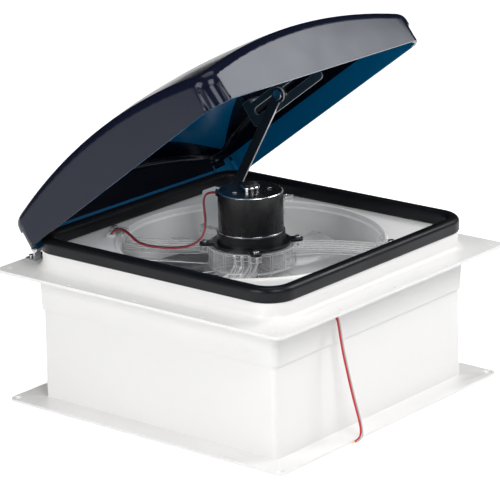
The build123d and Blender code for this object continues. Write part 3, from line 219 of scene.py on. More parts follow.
class VentColours(bpy.types.PropertyGroup):
    """Colours of the vent's finishes"""

    moulding: colour_property("Mouldings", "White moulded plastic", (0.84, 0.835, 0.825))
    gasket: colour_property("Gasket", "Charcoal foam rubber", (0.0045, 0.0047, 0.006))
    lid_outside: colour_property("Lid outside", "Smoked gloss plastic", (0.006, 0.0075, 0.019))
    # Painted shade and painted light inside the lid: near black where little light reaches it, and deep blue
    # where light comes through the smoked plastic
    lid_painted_shade: colour_property("Lid inside", "Inside of the lid where it is thick", (0.0015, 0.003, 0.008))
    lid_painted_light: colour_property("Lid band", "Inside of the lid where light comes through", (0.0, 0.115, 0.27))
    rail: colour_property("Slide rail", "Blue black coating", (0.006, 0.018, 0.028))
    arm: colour_property("Lift arm", "Dark coated steel", (0.012, 0.02, 0.032))
    clear: colour_property("Clear plastic", "Spider and fan", (0.9, 0.9, 0.91))
    # Painted shade: clear walls seen edge on are darker, standing for the dark that refraction gives them
    clear_painted_shade: colour_property("Clear plastic, deep", "Clear walls seen edge on", (0.05, 0.05, 0.053))
    motor: colour_property("Motor", "Black paint", (0.006, 0.006, 0.007))
    plate: colour_property("Bright plate", "Plated steel", (0.82, 0.83, 0.85))
    steel: colour_property("Steel", "Plain steel", (0.5, 0.51, 0.53))
    iron: colour_property("Iron", "Laminated iron and ferrite", (0.09, 0.09, 0.1))
    bronze: colour_property("Bronze", "Sintered bronze and copper", (0.55, 0.3, 0.12))
    nylon: colour_property("Gearbox", "White nylon", (0.78, 0.79, 0.8))
    screen: colour_property("Insect screen", "Grey thread and ring", (0.3, 0.31, 0.33))
    control: colour_property("Control unit", "Textured white plastic", (0.8, 0.8, 0.81))
    key: colour_property("Keys", "Soft grey keys", (0.35, 0.37, 0.39))
    board: colour_property("Circuit board", "Green solder mask", (0.02, 0.16, 0.05))
    grommet: colour_property("Grommets", "Pale soft plastic", (0.8, 0.8, 0.8))
    red_wire: colour_property("Red wire", "Dull red insulation", (0.3, 0.02, 0.03))
    black_wire: colour_property("Black wire", "Black insulation", (0.03, 0.018, 0.02))
    bright_wire: colour_property("Bright red wire", "Bright red insulation", (0.52, 0.012, 0.02))
    white_wire: colour_property("White wire", "White insulation", (0.5, 0.5, 0.48))
    copper: colour_property("Copper", "Bare strands", (0.8, 0.42, 0.26))
    floor: colour_property("Floor", "Studio floor", (0.86, 0.86, 0.87))


def sizes():
    return bpy.context.scene.vent_sizes


def colours():
    return bpy.context.scene.vent_colours


# Finishes


def shader_of(material):
    return material.node_tree.nodes["Principled BSDF"]


def link(tree, source, target):
    tree.links.new(source, target)


def node(tree, kind, **values):
    made = tree.nodes.new(kind)
    for name, value in values.items():
        setattr(made, name, value)
    return made


def math_node(tree, operation, first, second=None, clamp=False):
    made = node(tree, "ShaderNodeMath", operation=operation, use_clamp=clamp)
    for place, value in enumerate((first, second)):
        if value is None:
            continue
        if isinstance(value, (int, float)):
            made.inputs[place].default_value = value
        else:
            link(tree, value, made.inputs[place])
    return made.outputs[0]


def mix_colour(tree, share, first, second):
    made = node(tree, "ShaderNodeMix", data_type="RGBA")
    for place, value in ((0, share), (6, first), (7, second)):
        if isinstance(value, (int, float, tuple)):
            made.inputs[place].default_value = value
        else:
            link(tree, value, made.inputs[place])
    return made.outputs[2]


def shade(colour):
    return (*colour, 1.0)


def parts_of(tree, vector):
    """The three numbers of a vector."""
    split = node(tree, "ShaderNodeSeparateXYZ")
    link(tree, vector, split.inputs["Vector"])
    return split.outputs


def group_tree(name, inputs, outputs):
    tree = bpy.data.node_groups.new(name, "ShaderNodeTree")
    for direction, sockets in (("INPUT", inputs), ("OUTPUT", outputs)):
        for label, kind, default in sockets:
            socket = tree.interface.new_socket(name=label, in_out=direction, socket_type=kind)
            if direction == "INPUT" and default is not None:
                socket.default_value = default
    return tree, tree.nodes.new("NodeGroupInput"), tree.nodes.new("NodeGroupOutput")


def moulded_skin_group():
    """Fine grain, slow waves and a faint cloudiness, as on moulded plastic."""
    name = "Moulded skin"
    if name in bpy.data.node_groups:
        return bpy.data.node_groups[name]
    tree, start, end = group_tree(
        name,
        [
            ("Colour", "NodeSocketColor", (0.8, 0.8, 0.8, 1)),
            ("Roughness", "NodeSocketFloat", 0.35),
            ("Grain scale", "NodeSocketFloat", 2200.0),
            ("Grain depth", "NodeSocketFloat", 0.15),
            ("Cloudiness", "NodeSocketFloat", 0.04),
        ],
        [
            ("Colour", "NodeSocketColor", None),
            ("Roughness", "NodeSocketFloat", None),
            ("Height", "NodeSocketFloat", None),
        ],
    )
    place = node(tree, "ShaderNodeTexCoord")
    grain = node(tree, "ShaderNodeTexNoise")
    grain.inputs["Detail"].default_value = 2
    link(tree, place.outputs["Object"], grain.inputs["Vector"])
    link(tree, start.outputs["Grain scale"], grain.inputs["Scale"])
    cloud = node(tree, "ShaderNodeTexNoise")
    cloud.inputs["Scale"].default_value = 18
    cloud.inputs["Detail"].default_value = 4
    link(tree, place.outputs["Object"], cloud.inputs["Vector"])
    swing = math_node(tree, "SUBTRACT", cloud.outputs["Fac"], 0.5)
    amount = math_node(tree, "MULTIPLY", swing, start.outputs["Cloudiness"])
    brightness = math_node(tree, "ADD", amount, 1.0)
    tint = node(tree, "ShaderNodeVectorMath", operation="SCALE")
    link(tree, start.outputs["Colour"], tint.inputs[0])
    link(tree, brightness, tint.inputs["Scale"])
    link(tree, tint.outputs["Vector"], end.inputs["Colour"])
    dull = math_node(tree, "MULTIPLY", amount, 2.0)
    link(tree, math_node(tree, "ADD", start.outputs["Roughness"], dull, clamp=True), end.inputs["Roughness"])
    height = math_node(tree, "MULTIPLY", grain.outputs["Fac"], start.outputs["Grain depth"])
    link(tree, height, end.inputs["Height"])
    return tree


def edge_light_group():
    """A mask of the edges: where a rounded normal differs from the face's own."""
    name = "Edge light"
    if name in bpy.data.node_groups:
        return bpy.data.node_groups[name]
    tree, start, end = group_tree(
        name,
        [("Radius", "NodeSocketFloat", 0.001), ("Sharpness", "NodeSocketFloat", 6.0)],
        [("Mask", "NodeSocketFloat", None)],
    )
    rounded = node(tree, "ShaderNodeBevel", samples=8)
    link(tree, start.outputs["Radius"], rounded.inputs["Radius"])
    surface = node(tree, "ShaderNodeNewGeometry")
    likeness = node(tree, "ShaderNodeVectorMath", operation="DOT_PRODUCT")
    link(tree, rounded.outputs["Normal"], likeness.inputs[0])
    link(tree, surface.outputs["Normal"], likeness.inputs[1])
    unlike = math_node(tree, "SUBTRACT", 1.0, likeness.outputs["Value"])
    mask = math_node(tree, "MULTIPLY", unlike, start.outputs["Sharpness"], clamp=True)
    link(tree, mask, end.inputs["Mask"])
    return tree


def edge_light(tree, radius, sharpness):
    light = node(tree, "ShaderNodeGroup", node_tree=edge_light_group())
    light.inputs["Radius"].default_value = radius
    light.inputs["Sharpness"].default_value = sharpness
    return light.outputs["Mask"]


def finish_material(
    name, colour, roughness, metallic=0.0, grain_scale=2200.0, grain_depth=0.15, cloudiness=0.04,
    bump=0.00004, coat=0.0, ior=1.5, edge=None,
):
    """A material of one finish, kept by name: skin group, bump, and an edge tint where one is given.

    The edge is a radius in metres, a colour and a sharpness.
    """
    if name in bpy.data.materials:
        return bpy.data.materials[name]
    material = bpy.data.materials.new(name)
    material.use_nodes = True
    tree, shader = material.node_tree, shader_of(material)
    shader.inputs["Metallic"].default_value = metallic
    shader.inputs["IOR"].default_value = ior
    shader.inputs["Coat Weight"].default_value = coat
    shader.inputs["Coat Roughness"].default_value = 0.06
    skin = node(tree, "ShaderNodeGroup", node_tree=moulded_skin_group())
    skin.inputs["Colour"].default_value = shade(colour)
    skin.inputs["Roughness"].default_value = roughness
    skin.inputs["Grain scale"].default_value = grain_scale
    skin.inputs["Grain depth"].default_value = grain_depth
    skin.inputs["Cloudiness"].default_value = cloudiness
    tint = skin.outputs["Colour"]
    if edge:
        radius, edge_colour, sharpness = edge
        tint = mix_colour(tree, edge_light(tree, radius, sharpness), tint, shade(edge_colour))
    link(tree, tint, shader.inputs["Base Color"])
    link(tree, skin.outputs["Roughness"], shader.inputs["Roughness"])
    relief = node(tree, "ShaderNodeBump")
    relief.inputs["Distance"].default_value = bump
    link(tree, skin.outputs["Height"], relief.inputs["Height"])
    link(tree, relief.outputs["Normal"], shader.inputs["Normal"])
    return material


def white_moulding():
    return finish_material(
        "White moulding", colours().moulding, roughness=0.34, grain_depth=0.1, cloudiness=0.03,
    )


def soften_gloss(material, level, tint):
    """Weaker mirror images, in a tint."""
    shader_of(material).inputs["Specular IOR Level"].default_value = level
    shader_of(material).inputs["Specular Tint"].default_value = shade(tint)


def lid_place(tree, coordinate, origin, direction):
    """How far a point of the lid lies from an origin along a direction."""
    reach = node(tree, "ShaderNodeVectorMath", operation="SUBTRACT")
    link(tree, coordinate, reach.inputs[0])
    reach.inputs[1].default_value = origin
    along = node(tree, "ShaderNodeVectorMath", operation="DOT_PRODUCT")
    link(tree, reach.outputs["Vector"], along.inputs[0])
    if isinstance(direction, (tuple, Vector)):
        along.inputs[1].default_value = direction
    else:
        link(tree, direction, along.inputs[1])
    return along.outputs["Value"]


def before_line(tree, value, along, line):
    """Where a value is less than a line's slope times the place along it, plus the line's offset."""
    slope, offset = line
    edge = math_node(tree, "ADD", math_node(tree, "MULTIPLY", along, slope), offset)
    return math_node(tree, "LESS_THAN", value, edge)


def lid_painted_light_mask(tree, here, normal):
    """A mask of the lid's inside where the painted light that comes through it goes: a band above the rim,
    and a part of the crown.
    """
    level = math_node(tree, "ABSOLUTE", lid_place(tree, normal, (0, 0, 0), LID_UP))
    height = lid_place(tree, here, LID_RIM, LID_UP)
    toward_hinge = lid_place(tree, here, LID_RIM, LID_BACK)
    across = lid_place(tree, here, LID_RIM, (1, 0, 0))
    crown = math_node(tree, "GREATER_THAN", level, LID_CROWN_UP)
    crown = math_node(tree, "MULTIPLY", crown, before_line(tree, across, toward_hinge, LID_FAR_LINE))
    crown = math_node(tree, "MULTIPLY", crown, before_line(tree, toward_hinge, across, LID_HINGE_LINE))
    sideways = math_node(tree, "ABSOLUTE", lid_place(tree, normal, (0, 0, 0), (1, 0, 0)))
    side_skirt = math_node(tree, "GREATER_THAN", sideways, LID_SIDE_OUT)
    low = before_line(tree, height, side_skirt, (LID_SIDE_BAND, LID_BAND))
    steep = math_node(tree, "LESS_THAN", level, LID_SKIRT_UP)
    return math_node(tree, "MAXIMUM", crown, math_node(tree, "MULTIPLY", steep, low))


def lid_material():
    """Smoked gloss plastic: nearly black outside; inside, a painted shade near black, and a painted deep blue
    where light comes through it.
    """
    name = "Smoked lid"
    if name in bpy.data.materials:
        return bpy.data.materials[name]
    material = finish_material(
        name, colours().lid_outside, roughness=0.17,
        grain_scale=60, grain_depth=0.02, cloudiness=0.1, bump=0.0001,
    )
    soften_gloss(material, level=0.25, tint=(0.86, 0.91, 1.0))
    tree, shader = material.node_tree, shader_of(material)
    outside = shader.inputs["Base Color"].links[0].from_socket
    place = node(tree, "ShaderNodeTexCoord")
    here, normal = place.outputs["Object"], place.outputs["Normal"]
    inner = math_node(tree, "LESS_THAN", lid_place(tree, here, LID_HEART, normal), 0.0)
    # Painted light and shade inside the lid: blue where light comes through, near black where little reaches
    clear = lid_painted_light_mask(tree, here, normal)
    under = mix_colour(tree, clear, shade(colours().lid_painted_shade), shade(colours().lid_painted_light))
    link(tree, mix_colour(tree, inner, outside, under), shader.inputs["Base Color"])
    rays = node(tree, "ShaderNodeLightPath")
    let_through = math_node(tree, "MULTIPLY", rays.outputs["Is Shadow Ray"], LID_LETS_BY)
    link(tree, math_node(tree, "SUBTRACT", 1.0, let_through), shader.inputs["Alpha"])
    return material


def mesh_material():
    """Woven insect mesh: two sets of threads with open holes between them."""
    material = finish_material("Insect mesh", colours().screen, roughness=0.6)
    tree = material.node_tree
    here = parts_of(tree, node(tree, "ShaderNodeTexCoord").outputs["Object"])
    threads = []
    for axis in ("X", "Y"):
        from_thread = math_node(tree, "PINGPONG", here[axis], sizes().mesh_pitch / 2)
        threads.append(math_node(tree, "LESS_THAN", from_thread, sizes().mesh_thread / 2))
    link(tree, math_node(tree, "MAXIMUM", *threads), shader_of(material).inputs["Alpha"])
    return material


def cut_sheet():
    """Dark coated sheet whose cut edges are painted in bright plate, as a painted highlight."""
    material = finish_material("Dark steel", colours().arm, roughness=0.3, metallic=0.5)
    tree, shader = material.node_tree, shader_of(material)
    coated = shader.inputs["Base Color"].links[0].from_socket
    normal = parts_of(tree, node(tree, "ShaderNodeTexCoord").outputs["Normal"])
    # Painted highlight: faces that do not point sideways, the sheet's cut edges, get the bright plate colour
    cut = math_node(tree, "LESS_THAN", math_node(tree, "ABSOLUTE", normal["X"]), ARM_FLAT)
    link(tree, mix_colour(tree, cut, coated, shade(colours().plate)), shader.inputs["Base Color"])
    return material


def bright_plate():
    return finish_material(
        "Bright plate", colours().plate, roughness=0.12, metallic=1.0, grain_scale=600, cloudiness=0.08
    )


def zinc_steel():
    return finish_material(
        "Zinc plated steel", colours().steel, roughness=0.28, metallic=1.0, grain_scale=900, cloudiness=0.15
    )


def clear_plastic(name, body, turned_share):
    """Clear moulded plastic, with a painted shade where its faces turn away and painted highlights on its
    edges.

    Body is how much a face that is looked at squarely hides, and turned_share what turning away adds.
    """
    if name in bpy.data.materials:
        return bpy.data.materials[name]
    material = finish_material(
        name, colours().clear, roughness=0.06,
        grain_scale=90, grain_depth=0.03, cloudiness=0.03, bump=0.00005, coat=1.0, ior=1.55,
    )
    tree, shader = material.node_tree, shader_of(material)
    tint = shader.inputs["Base Color"].links[0].from_socket
    layers = node(tree, "ShaderNodeLayerWeight")
    layers.inputs["Blend"].default_value = CLEAR_BLEND
    turned = layers.outputs["Facing"]
    # Painted highlights on the edges, and painted shade on faces that turn away
    edges = edge_light(tree, *CLEAR_HIGHLIGHT)
    walls = mix_colour(tree, turned, tint, shade(colours().clear_painted_shade))
    link(tree, mix_colour(tree, edges, walls, shade(colours().clear)), shader.inputs["Base Color"])
    veil = math_node(tree, "ADD", math_node(tree, "MULTIPLY", turned, turned_share), body)
    rim = math_node(tree, "MULTIPLY", edges, CLEAR_RIM)
    link(tree, math_node(tree, "ADD", veil, rim, clamp=True), shader.inputs["Alpha"])
    return material


def can_paint():
    """Black satin paint, with a painted highlight of bright steel on the rounded rim at the can's top."""
    material = finish_material(
        "Can paint", colours().motor, roughness=0.28, grain_depth=0.1, cloudiness=0.05,
    )
    tree, shader = material.node_tree, shader_of(material)
    paint = shader.inputs["Base Color"].links[0].from_socket
    low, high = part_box("motor_can")
    here = parts_of(tree, node(tree, "ShaderNodeTexCoord").outputs["Object"])
    flat = node(tree, "ShaderNodeCombineXYZ")
    link(tree, here["X"], flat.inputs["X"])
    link(tree, here["Y"], flat.inputs["Y"])
    radius = node(tree, "ShaderNodeVectorMath", operation="LENGTH")
    link(tree, flat.outputs["Vector"], radius.inputs[0])
    can_radius = (high.x - low.x) / 2
    # Painted highlight: a thin ring at the top of the can's side is coloured bright plate and made metallic
    outer = math_node(tree, "GREATER_THAN", radius.outputs["Value"], can_radius - sizes().can_rim_highlight)
    upper = math_node(tree, "GREATER_THAN", here["Z"], high.z - sizes().can_rim_highlight)
    highlit = math_node(tree, "MULTIPLY", outer, upper)
    link(tree, mix_colour(tree, highlit, paint, shade(colours().plate)), shader.inputs["Base Color"])
    link(tree, highlit, shader.inputs["Metallic"])
    return material


def floor_material():
    """Pale and dull, and bright to the eye, so that it runs into the white behind."""
    material = bpy.data.materials.new("Studio floor")
    material.use_nodes = True
    tree, shader = material.node_tree, shader_of(material)
    shader.inputs["Base Color"].default_value = shade(colours().floor)
    shader.inputs["Roughness"].default_value = 0.9
    shader.inputs["Specular IOR Level"].default_value = 0.0
    rays = node(tree, "ShaderNodeLightPath")
    seen = math_node(tree, "MAXIMUM", rays.outputs["Is Camera Ray"], rays.outputs["Is Glossy Ray"])
    seen = math_node(tree, "MAXIMUM", seen, rays.outputs["Is Transmission Ray"])
    shader.inputs["Emission Color"].default_value = (1, 1, 1, 1)
    link(tree, math_node(tree, "MULTIPLY", seen, FLOOR_GLOW), shader.inputs["Emission Strength"])
    return material


def light_world(world):
    """White to the eye, even light on the vent, and in its mirror images dim above a white floor."""
    world.use_nodes = True
    tree = world.node_tree
    rays = node(tree, "ShaderNodeLightPath")
    seen = math_node(tree, "MAXIMUM", rays.outputs["Is Camera Ray"], rays.outputs["Is Transmission Ray"])
    toward = parts_of(tree, node(tree, "ShaderNodeTexCoord").outputs["Generated"])
    front = node(tree, "ShaderNodeMapRange")
    for name, value in WORLD_MIRRORED:
        front.inputs[name].default_value = value
    link(tree, toward["Y"], front.inputs["Value"])
    below = math_node(tree, "LESS_THAN", toward["Z"], WORLD_HORIZON)
    mirrored = math_node(tree, "MAXIMUM", below, front.outputs["Result"])
    glossy = math_node(tree, "MULTIPLY", rays.outputs["Is Glossy Ray"], mirrored)
    others = math_node(tree, "SUBTRACT", 1.0, rays.outputs["Is Glossy Ray"])
    level = math_node(tree, "ADD", glossy, math_node(tree, "MULTIPLY", others, WORLD_LIGHT))
    strength = tree.nodes["Background"].inputs["Strength"]
    link(tree, math_node(tree, "MAXIMUM", level, seen), strength)


# Shaping


def choose(piece):
    """Only this piece is selected and active."""
    bpy.ops.object.select_all(action="DESELECT")
    piece.select_set(True)
    bpy.context.view_layer.objects.active = piece


def apply_modifier(piece, kind, **values):
    choose(piece)
    modifier = piece.modifiers.new(kind.title(), kind)
    for name, value in values.items():
        setattr(modifier, name, value)
    bpy.ops.object.modifier_apply(modifier=modifier.name)


def settle(piece, body, material, slot, *stands_for):
    """The piece gets its finish, rides on its body, and stands for the nodes given."""
    piece.data.materials.clear()
    piece.data.materials.append(material)
    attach(piece, body)
    if stands_for:
        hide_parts(*stands_for)
    return piece


def dress(name, material, width, segments=2, smooth=30.0, merge_flats=True):
    """A welded copy of a solid with rounded edges and smooth shading, in the solid's place."""
    source = frame["nodes"][name]
    piece = bpy.data.objects.new(name + "_dressed", source.data.copy())
    bpy.context.scene.collection.objects.link(piece)
    choose(piece)
    bpy.ops.object.mode_set(mode="EDIT")
    bpy.ops.mesh.select_all(action="SELECT")
    bpy.ops.mesh.remove_doubles(threshold=WELD)
    if merge_flats:
        bpy.ops.mesh.dissolve_limited(angle_limit=FLAT)
    bpy.ops.object.mode_set(mode="OBJECT")
    bpy.ops.object.shade_smooth_by_angle(angle=math.radians(smooth))
    if width:
        apply_modifier(
            piece, "BEVEL", width=width, segments=segments, limit_method="ANGLE",
            angle_limit=math.radians(smooth), harden_normals=True, use_clamp_overlap=True,
        )
    else:
        apply_modifier(piece, "WEIGHTED_NORMAL", mode="FACE_AREA", weight=50, keep_sharp=True)
    return settle(piece, BODY_OF[name], material, SLOT_OF[name], name)


def coat(name, material):
    """A solid keeps its mesh and gets its finish."""
    solid = frame["nodes"][name]
    solid.data.materials.clear()
    solid.data.materials.append(material)


def wire(name, points, material):
    """A wire on one smooth curve through its route."""
    curve = bpy.data.curves.new(name + "_wire", "CURVE")
    curve.dimensions = "3D"
    spline = curve.splines.new("NURBS")
    spline.points.add(len(points) - 1)
    for control, place in zip(spline.points, points):
        control.co = (*place, 1)
    spline.order_u = 3
    spline.use_endpoint_u = True
    curve.resolution_u = 10
    curve.bevel_depth = sizes().wire_diameter / 2
    curve.bevel_resolution = 4
    curve.use_fill_caps = True
    piece = bpy.data.objects.new(name + "_wire", curve)
    bpy.context.scene.collection.objects.link(piece)
    settle(piece, BODY_OF[name], material, SLOT_OF[name], name)
    return piece


def beside(points, step):
    return [(x + step[0], y + step[1], z) for x, y, z in points]


def bare_end(name, tip, before, body, slot):
    """A few bare copper strands that stand out of a wire's end."""
    along = (Vector(tip) - Vector(before)).normalized()
    turn = along.to_track_quat("Z", "Y")
    strand = sizes().strand_diameter / 2
    copies = []
    for number in range(STRANDS):
        spread = STRAND_SPREAD * strand if number else 0
        angle = number * 2 * math.pi / (STRANDS - 1)
        offset = turn @ Vector((spread * math.cos(angle), spread * math.sin(angle), 0))
        middle = Vector(tip) + along * (sizes().strand_length / 2 - STRAND_ROOT) + offset
        bpy.ops.object.select_all(action="DESELECT")
        bpy.ops.mesh.primitive_cylinder_add(
            vertices=10, radius=strand, depth=sizes().strand_length, location=middle,
            rotation=turn.to_euler(),
        )
        copies.append(bpy.context.object)
    bpy.ops.object.select_all(action="DESELECT")
    for copy in copies:
        copy.select_set(True)
    bpy.context.view_layer.objects.active = copies[0]
    bpy.ops.object.join()
    piece = bpy.context.object
    piece.name = name
    choose(piece)
    bpy.ops.object.transform_apply(location=True, rotation=True, scale=True)
    bpy.ops.object.shade_smooth_by_angle(angle=math.radians(40))
    material = finish_material("Bare copper", colours().copper, roughness=0.3, metallic=1.0, cloudiness=0.1)
    return settle(piece, body, material, slot)


# Operators: one for each piece or group of like pieces, and one for the stage


class VENT_OT_camera(bpy.types.Operator):
    """Sets the camera at the photograph's angle"""

    bl_idname = "vent.camera"
    bl_label = "Camera"

    def execute(self, context):
        azimuth, rise, roll = (math.radians(angle) for angle in CAMERA_ANGLES)
        back = Vector(
            (math.sin(azimuth) * math.cos(rise), -math.cos(azimuth) * math.cos(rise), math.sin(rise))
        )
        right = Vector((math.cos(azimuth), math.sin(azimuth), 0))
        up = back.cross(right)
        turned_right = right * math.cos(roll) + up * math.sin(roll)
        turned_up = up * math.cos(roll) - right * math.sin(roll)
        place = CAMERA_TARGET + back * sizes().camera_distance
        lens = bpy.data.cameras.new("Camera")
        lens.lens = CAMERA_LENS
        lens.sensor_width = CAMERA_SENSOR
        lens.clip_end = 50
        camera = bpy.data.objects.new("Camera", lens)
        context.scene.collection.objects.link(camera)
        axes = Matrix((turned_right, turned_up, back)).transposed().to_4x4()
        camera.matrix_world = Matrix.Translation(place) @ axes
        context.scene.camera = camera
        return {"FINISHED"}


class VENT_OT_motor_leads(bpy.types.Operator):
    """Makes the motor's red and black wires, from its outlet to the deck's grommet"""

    bl_idname = "vent.motor_leads"
    bl_label = "Motor leads"

    def execute(self, context):
        red = finish_material("Dull red insulation", colours().red_wire, roughness=0.38, grain_depth=0.3)
        black = finish_material("Black insulation", colours().black_wire, roughness=0.35, grain_depth=0.3)
        second = beside(MOTOR_WIRE, MOTOR_WIRE_STEP)
        for name, points, material in (
            ("motor_lead_red", MOTOR_WIRE, red),
            ("motor_lead_black", second, black),
        ):
            wire(name, points, material)
        return {"FINISHED"}


class VENT_OT_power_leads(bpy.types.Operator):
    """Makes the red and white supply wires, from the skirt's grommet down to their bare ends"""

    bl_idname = "vent.power_leads"
    bl_label = "Power leads"

    def execute(self, context):
        red = finish_material("Bright red insulation", colours().bright_wire, roughness=0.35, grain_depth=0.3)
        white = finish_material("White insulation", colours().white_wire, roughness=0.35, grain_depth=0.3)
        run, end = POWER_WIRE[:-POWER_WIRE_END], POWER_WIRE[-POWER_WIRE_END:]
        second = beside(run, POWER_WIRE_STEP) + beside(end, POWER_WIRE_END_STEP)
        for name, points, material, length in (
            ("power_lead_red", POWER_WIRE, red, POWER_RED_LENGTH),
            ("power_lead_white", second, white, POWER_WHITE_LENGTH),
        ):
            strands = bare_end(name + "_strands", points[-1], points[-2], BODY_OF[name], "bronze")
            wire(name, points, material)
        return {"FINISHED"}


class VENT_OT_roof_moulding(bpy.types.Operator):
    """Dresses the white roof moulding: flange, collar, deck, throat and skirt"""

    bl_idname = "vent.roof_moulding"
    bl_label = "Roof moulding"

    def execute(self, context):
        dress("roof_base", white_moulding(), sizes().moulding_round)
        return {"FINISHED"}


class VENT_OT_rim_gasket(bpy.types.Operator):
    """Dresses the charcoal gasket on the deck's rim"""

    bl_idname = "vent.rim_gasket"
    bl_label = "Rim gasket"

    def execute(self, context):
        material = finish_material(
            "Charcoal rubber", colours().gasket, roughness=0.36,
            grain_scale=900, grain_depth=0.5, cloudiness=0.2, bump=0.00006,
        )
        soften_gloss(material, level=0.24, tint=(0.9, 0.92, 1.0))
        dress("rim_gasket", material, sizes().gasket_round, segments=4)
        return {"FINISHED"}


class VENT_OT_ceiling_trim(bpy.types.Operator):
    """Dresses the white ceiling trim with its drilled flange"""

    bl_idname = "vent.ceiling_trim"
    bl_label = "Ceiling trim"

    def execute(self, context):
        dress("ceiling_trim", white_moulding(), sizes().moulding_round)
        return {"FINISHED"}


class VENT_OT_lid(bpy.types.Operator):
    """Dresses the smoked lid"""

    bl_idname = "vent.lid"
    bl_label = "Lid"

    def execute(self, context):
        dress("lid_dome", lid_material(), None, smooth=24.0, merge_flats=False)
        return {"FINISHED"}


class VENT_OT_slide_rail(bpy.types.Operator):
    """Dresses the slotted rail inside the lid"""

    bl_idname = "vent.slide_rail"
    bl_label = "Slide rail"

    def execute(self, context):
        # Painted highlight: the rail's edges are tinted a pale blue grey over the dark coating
        edge = (0.0008, (0.4, 0.45, 0.52), 8)
        material = finish_material("Blue black coating", colours().rail, roughness=0.3, edge=edge)
        dress("slide_rail", material, sizes().metal_round)
        return {"FINISHED"}


class VENT_OT_lift_arm(bpy.types.Operator):
    """Dresses the lift arm with its pin, clip, shaft and nut"""

    bl_idname = "vent.lift_arm"
    bl_label = "Lift arm"

    def execute(self, context):
        dress("lift_arm", cut_sheet(), sizes().metal_round)
        bright = bright_plate()
        for name in ("lift_pin", "lift_pin_clip", "lift_shaft", "lift_shaft_nut"):
            dress(name, bright, sizes().metal_round)
        return {"FINISHED"}


class VENT_OT_gearbox(bpy.types.Operator):
    """Dresses the white lift gearbox and its cover, with the motor inside"""

    bl_idname = "vent.gearbox"
    bl_label = "Lift gearbox"

    def execute(self, context):
        nylon = finish_material("White nylon", colours().nylon, roughness=0.4, grain_depth=0.3)
        for name in ("lift_gearbox", "lift_gearbox_cover"):
            dress(name, nylon, sizes().moulding_round)
        dress("lift_motor", zinc_steel(), sizes().metal_round)
        return {"FINISHED"}


class VENT_OT_spider(bpy.types.Operator):
    """Dresses the clear four armed spider that carries the motor"""

    bl_idname = "vent.spider"
    bl_label = "Motor spider"

    def execute(self, context):
        dress("motor_spider", clear_plastic("Clear spider", body=0.06, turned_share=0.8), sizes().clear_round)
        return {"FINISHED"}


class VENT_OT_motor(bpy.types.Operator):
    """Dresses the black motor, its bright boss and seam, and what is inside"""

    bl_idname = "vent.motor"
    bl_label = "Motor"

    def execute(self, context):
        black = finish_material(
            "Black satin paint", colours().motor, roughness=0.3, grain_depth=0.1, cloudiness=0.05,
        )
        for name in ("motor_plate", "motor_cup", "motor_boss_cap"):
            dress(name, black, sizes().metal_round, segments=3)
        dress("motor_can", can_paint(), sizes().metal_round, segments=3)
        for name in ("motor_seam_ring", "motor_boss"):
            dress(name, bright_plate(), sizes().metal_round)
        iron = finish_material("Laminated iron", colours().iron, roughness=0.5, metallic=0.6)
        bronze = finish_material(
            "Sintered bronze", colours().bronze, roughness=0.4, metallic=1.0, cloudiness=0.3,
        )
        for name in ("motor_magnets", "motor_brushes", "motor_armature"):
            coat(name, iron)
        for name in ("motor_bushes", "motor_commutator"):
            coat(name, bronze)
        dress("motor_outlet", black, sizes().metal_round)
        return {"FINISHED"}


class VENT_OT_fan(bpy.types.Operator):
    """Dresses the clear fan with its shaft and nut"""

    bl_idname = "vent.fan"
    bl_label = "Fan"

    def execute(self, context):
        dress("fan", clear_plastic("Clear fan", body=0.32, turned_share=0.5), sizes().clear_round, segments=1)
        dress("fan_shaft", zinc_steel(), sizes().metal_round)
        dress("fan_nut", zinc_steel(), sizes().metal_round)
        return {"FINISHED"}


class VENT_OT_screen(bpy.types.Operator):
    """Dresses the insect screen's ring and makes its woven mesh"""

    bl_idname = "vent.screen"
    bl_label = "Insect screen"

    def execute(self, context):
        ring = finish_material("Grey ring", colours().screen, roughness=0.5)
        dress("screen_frame", ring, sizes().moulding_round)
        low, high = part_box("insect_screen")
        bpy.ops.object.select_all(action="DESELECT")
        bpy.ops.mesh.primitive_circle_add(
            vertices=MESH_SIDES, radius=(high.x - low.x) / 2, fill_type="NGON", location=(0, 0, low.z)
        )
        cloth = bpy.context.object
        cloth.name = "insect_mesh"
        bpy.ops.object.mode_set(mode="EDIT")
        bpy.ops.mesh.select_all(action="SELECT")
        bpy.ops.mesh.inset(thickness=MESH_RIM)
        bpy.ops.mesh.poke()
        bpy.ops.object.mode_set(mode="OBJECT")
        bpy.ops.object.transform_apply(location=True, rotation=True, scale=True)
        apply_modifier(cloth, "SOLIDIFY", thickness=high.z - low.z, offset=1.0)
        settle(cloth, BODY_OF["insect_screen"], mesh_material(), SLOT_OF["insect_screen"], "insect_screen")
        return {"FINISHED"}


class VENT_OT_hinges(bpy.types.Operator):
    """Dresses the two hinges: leaves on the flange and on the lid, with their pins"""

    bl_idname = "vent.hinges"
    bl_label = "Hinges"

    def execute(self, context):
        for name in ("hinge_base_leaves", "hinge_lid_leaves", "hinge_pins"):
            dress(name, zinc_steel(), sizes().metal_round)
        return {"FINISHED"}


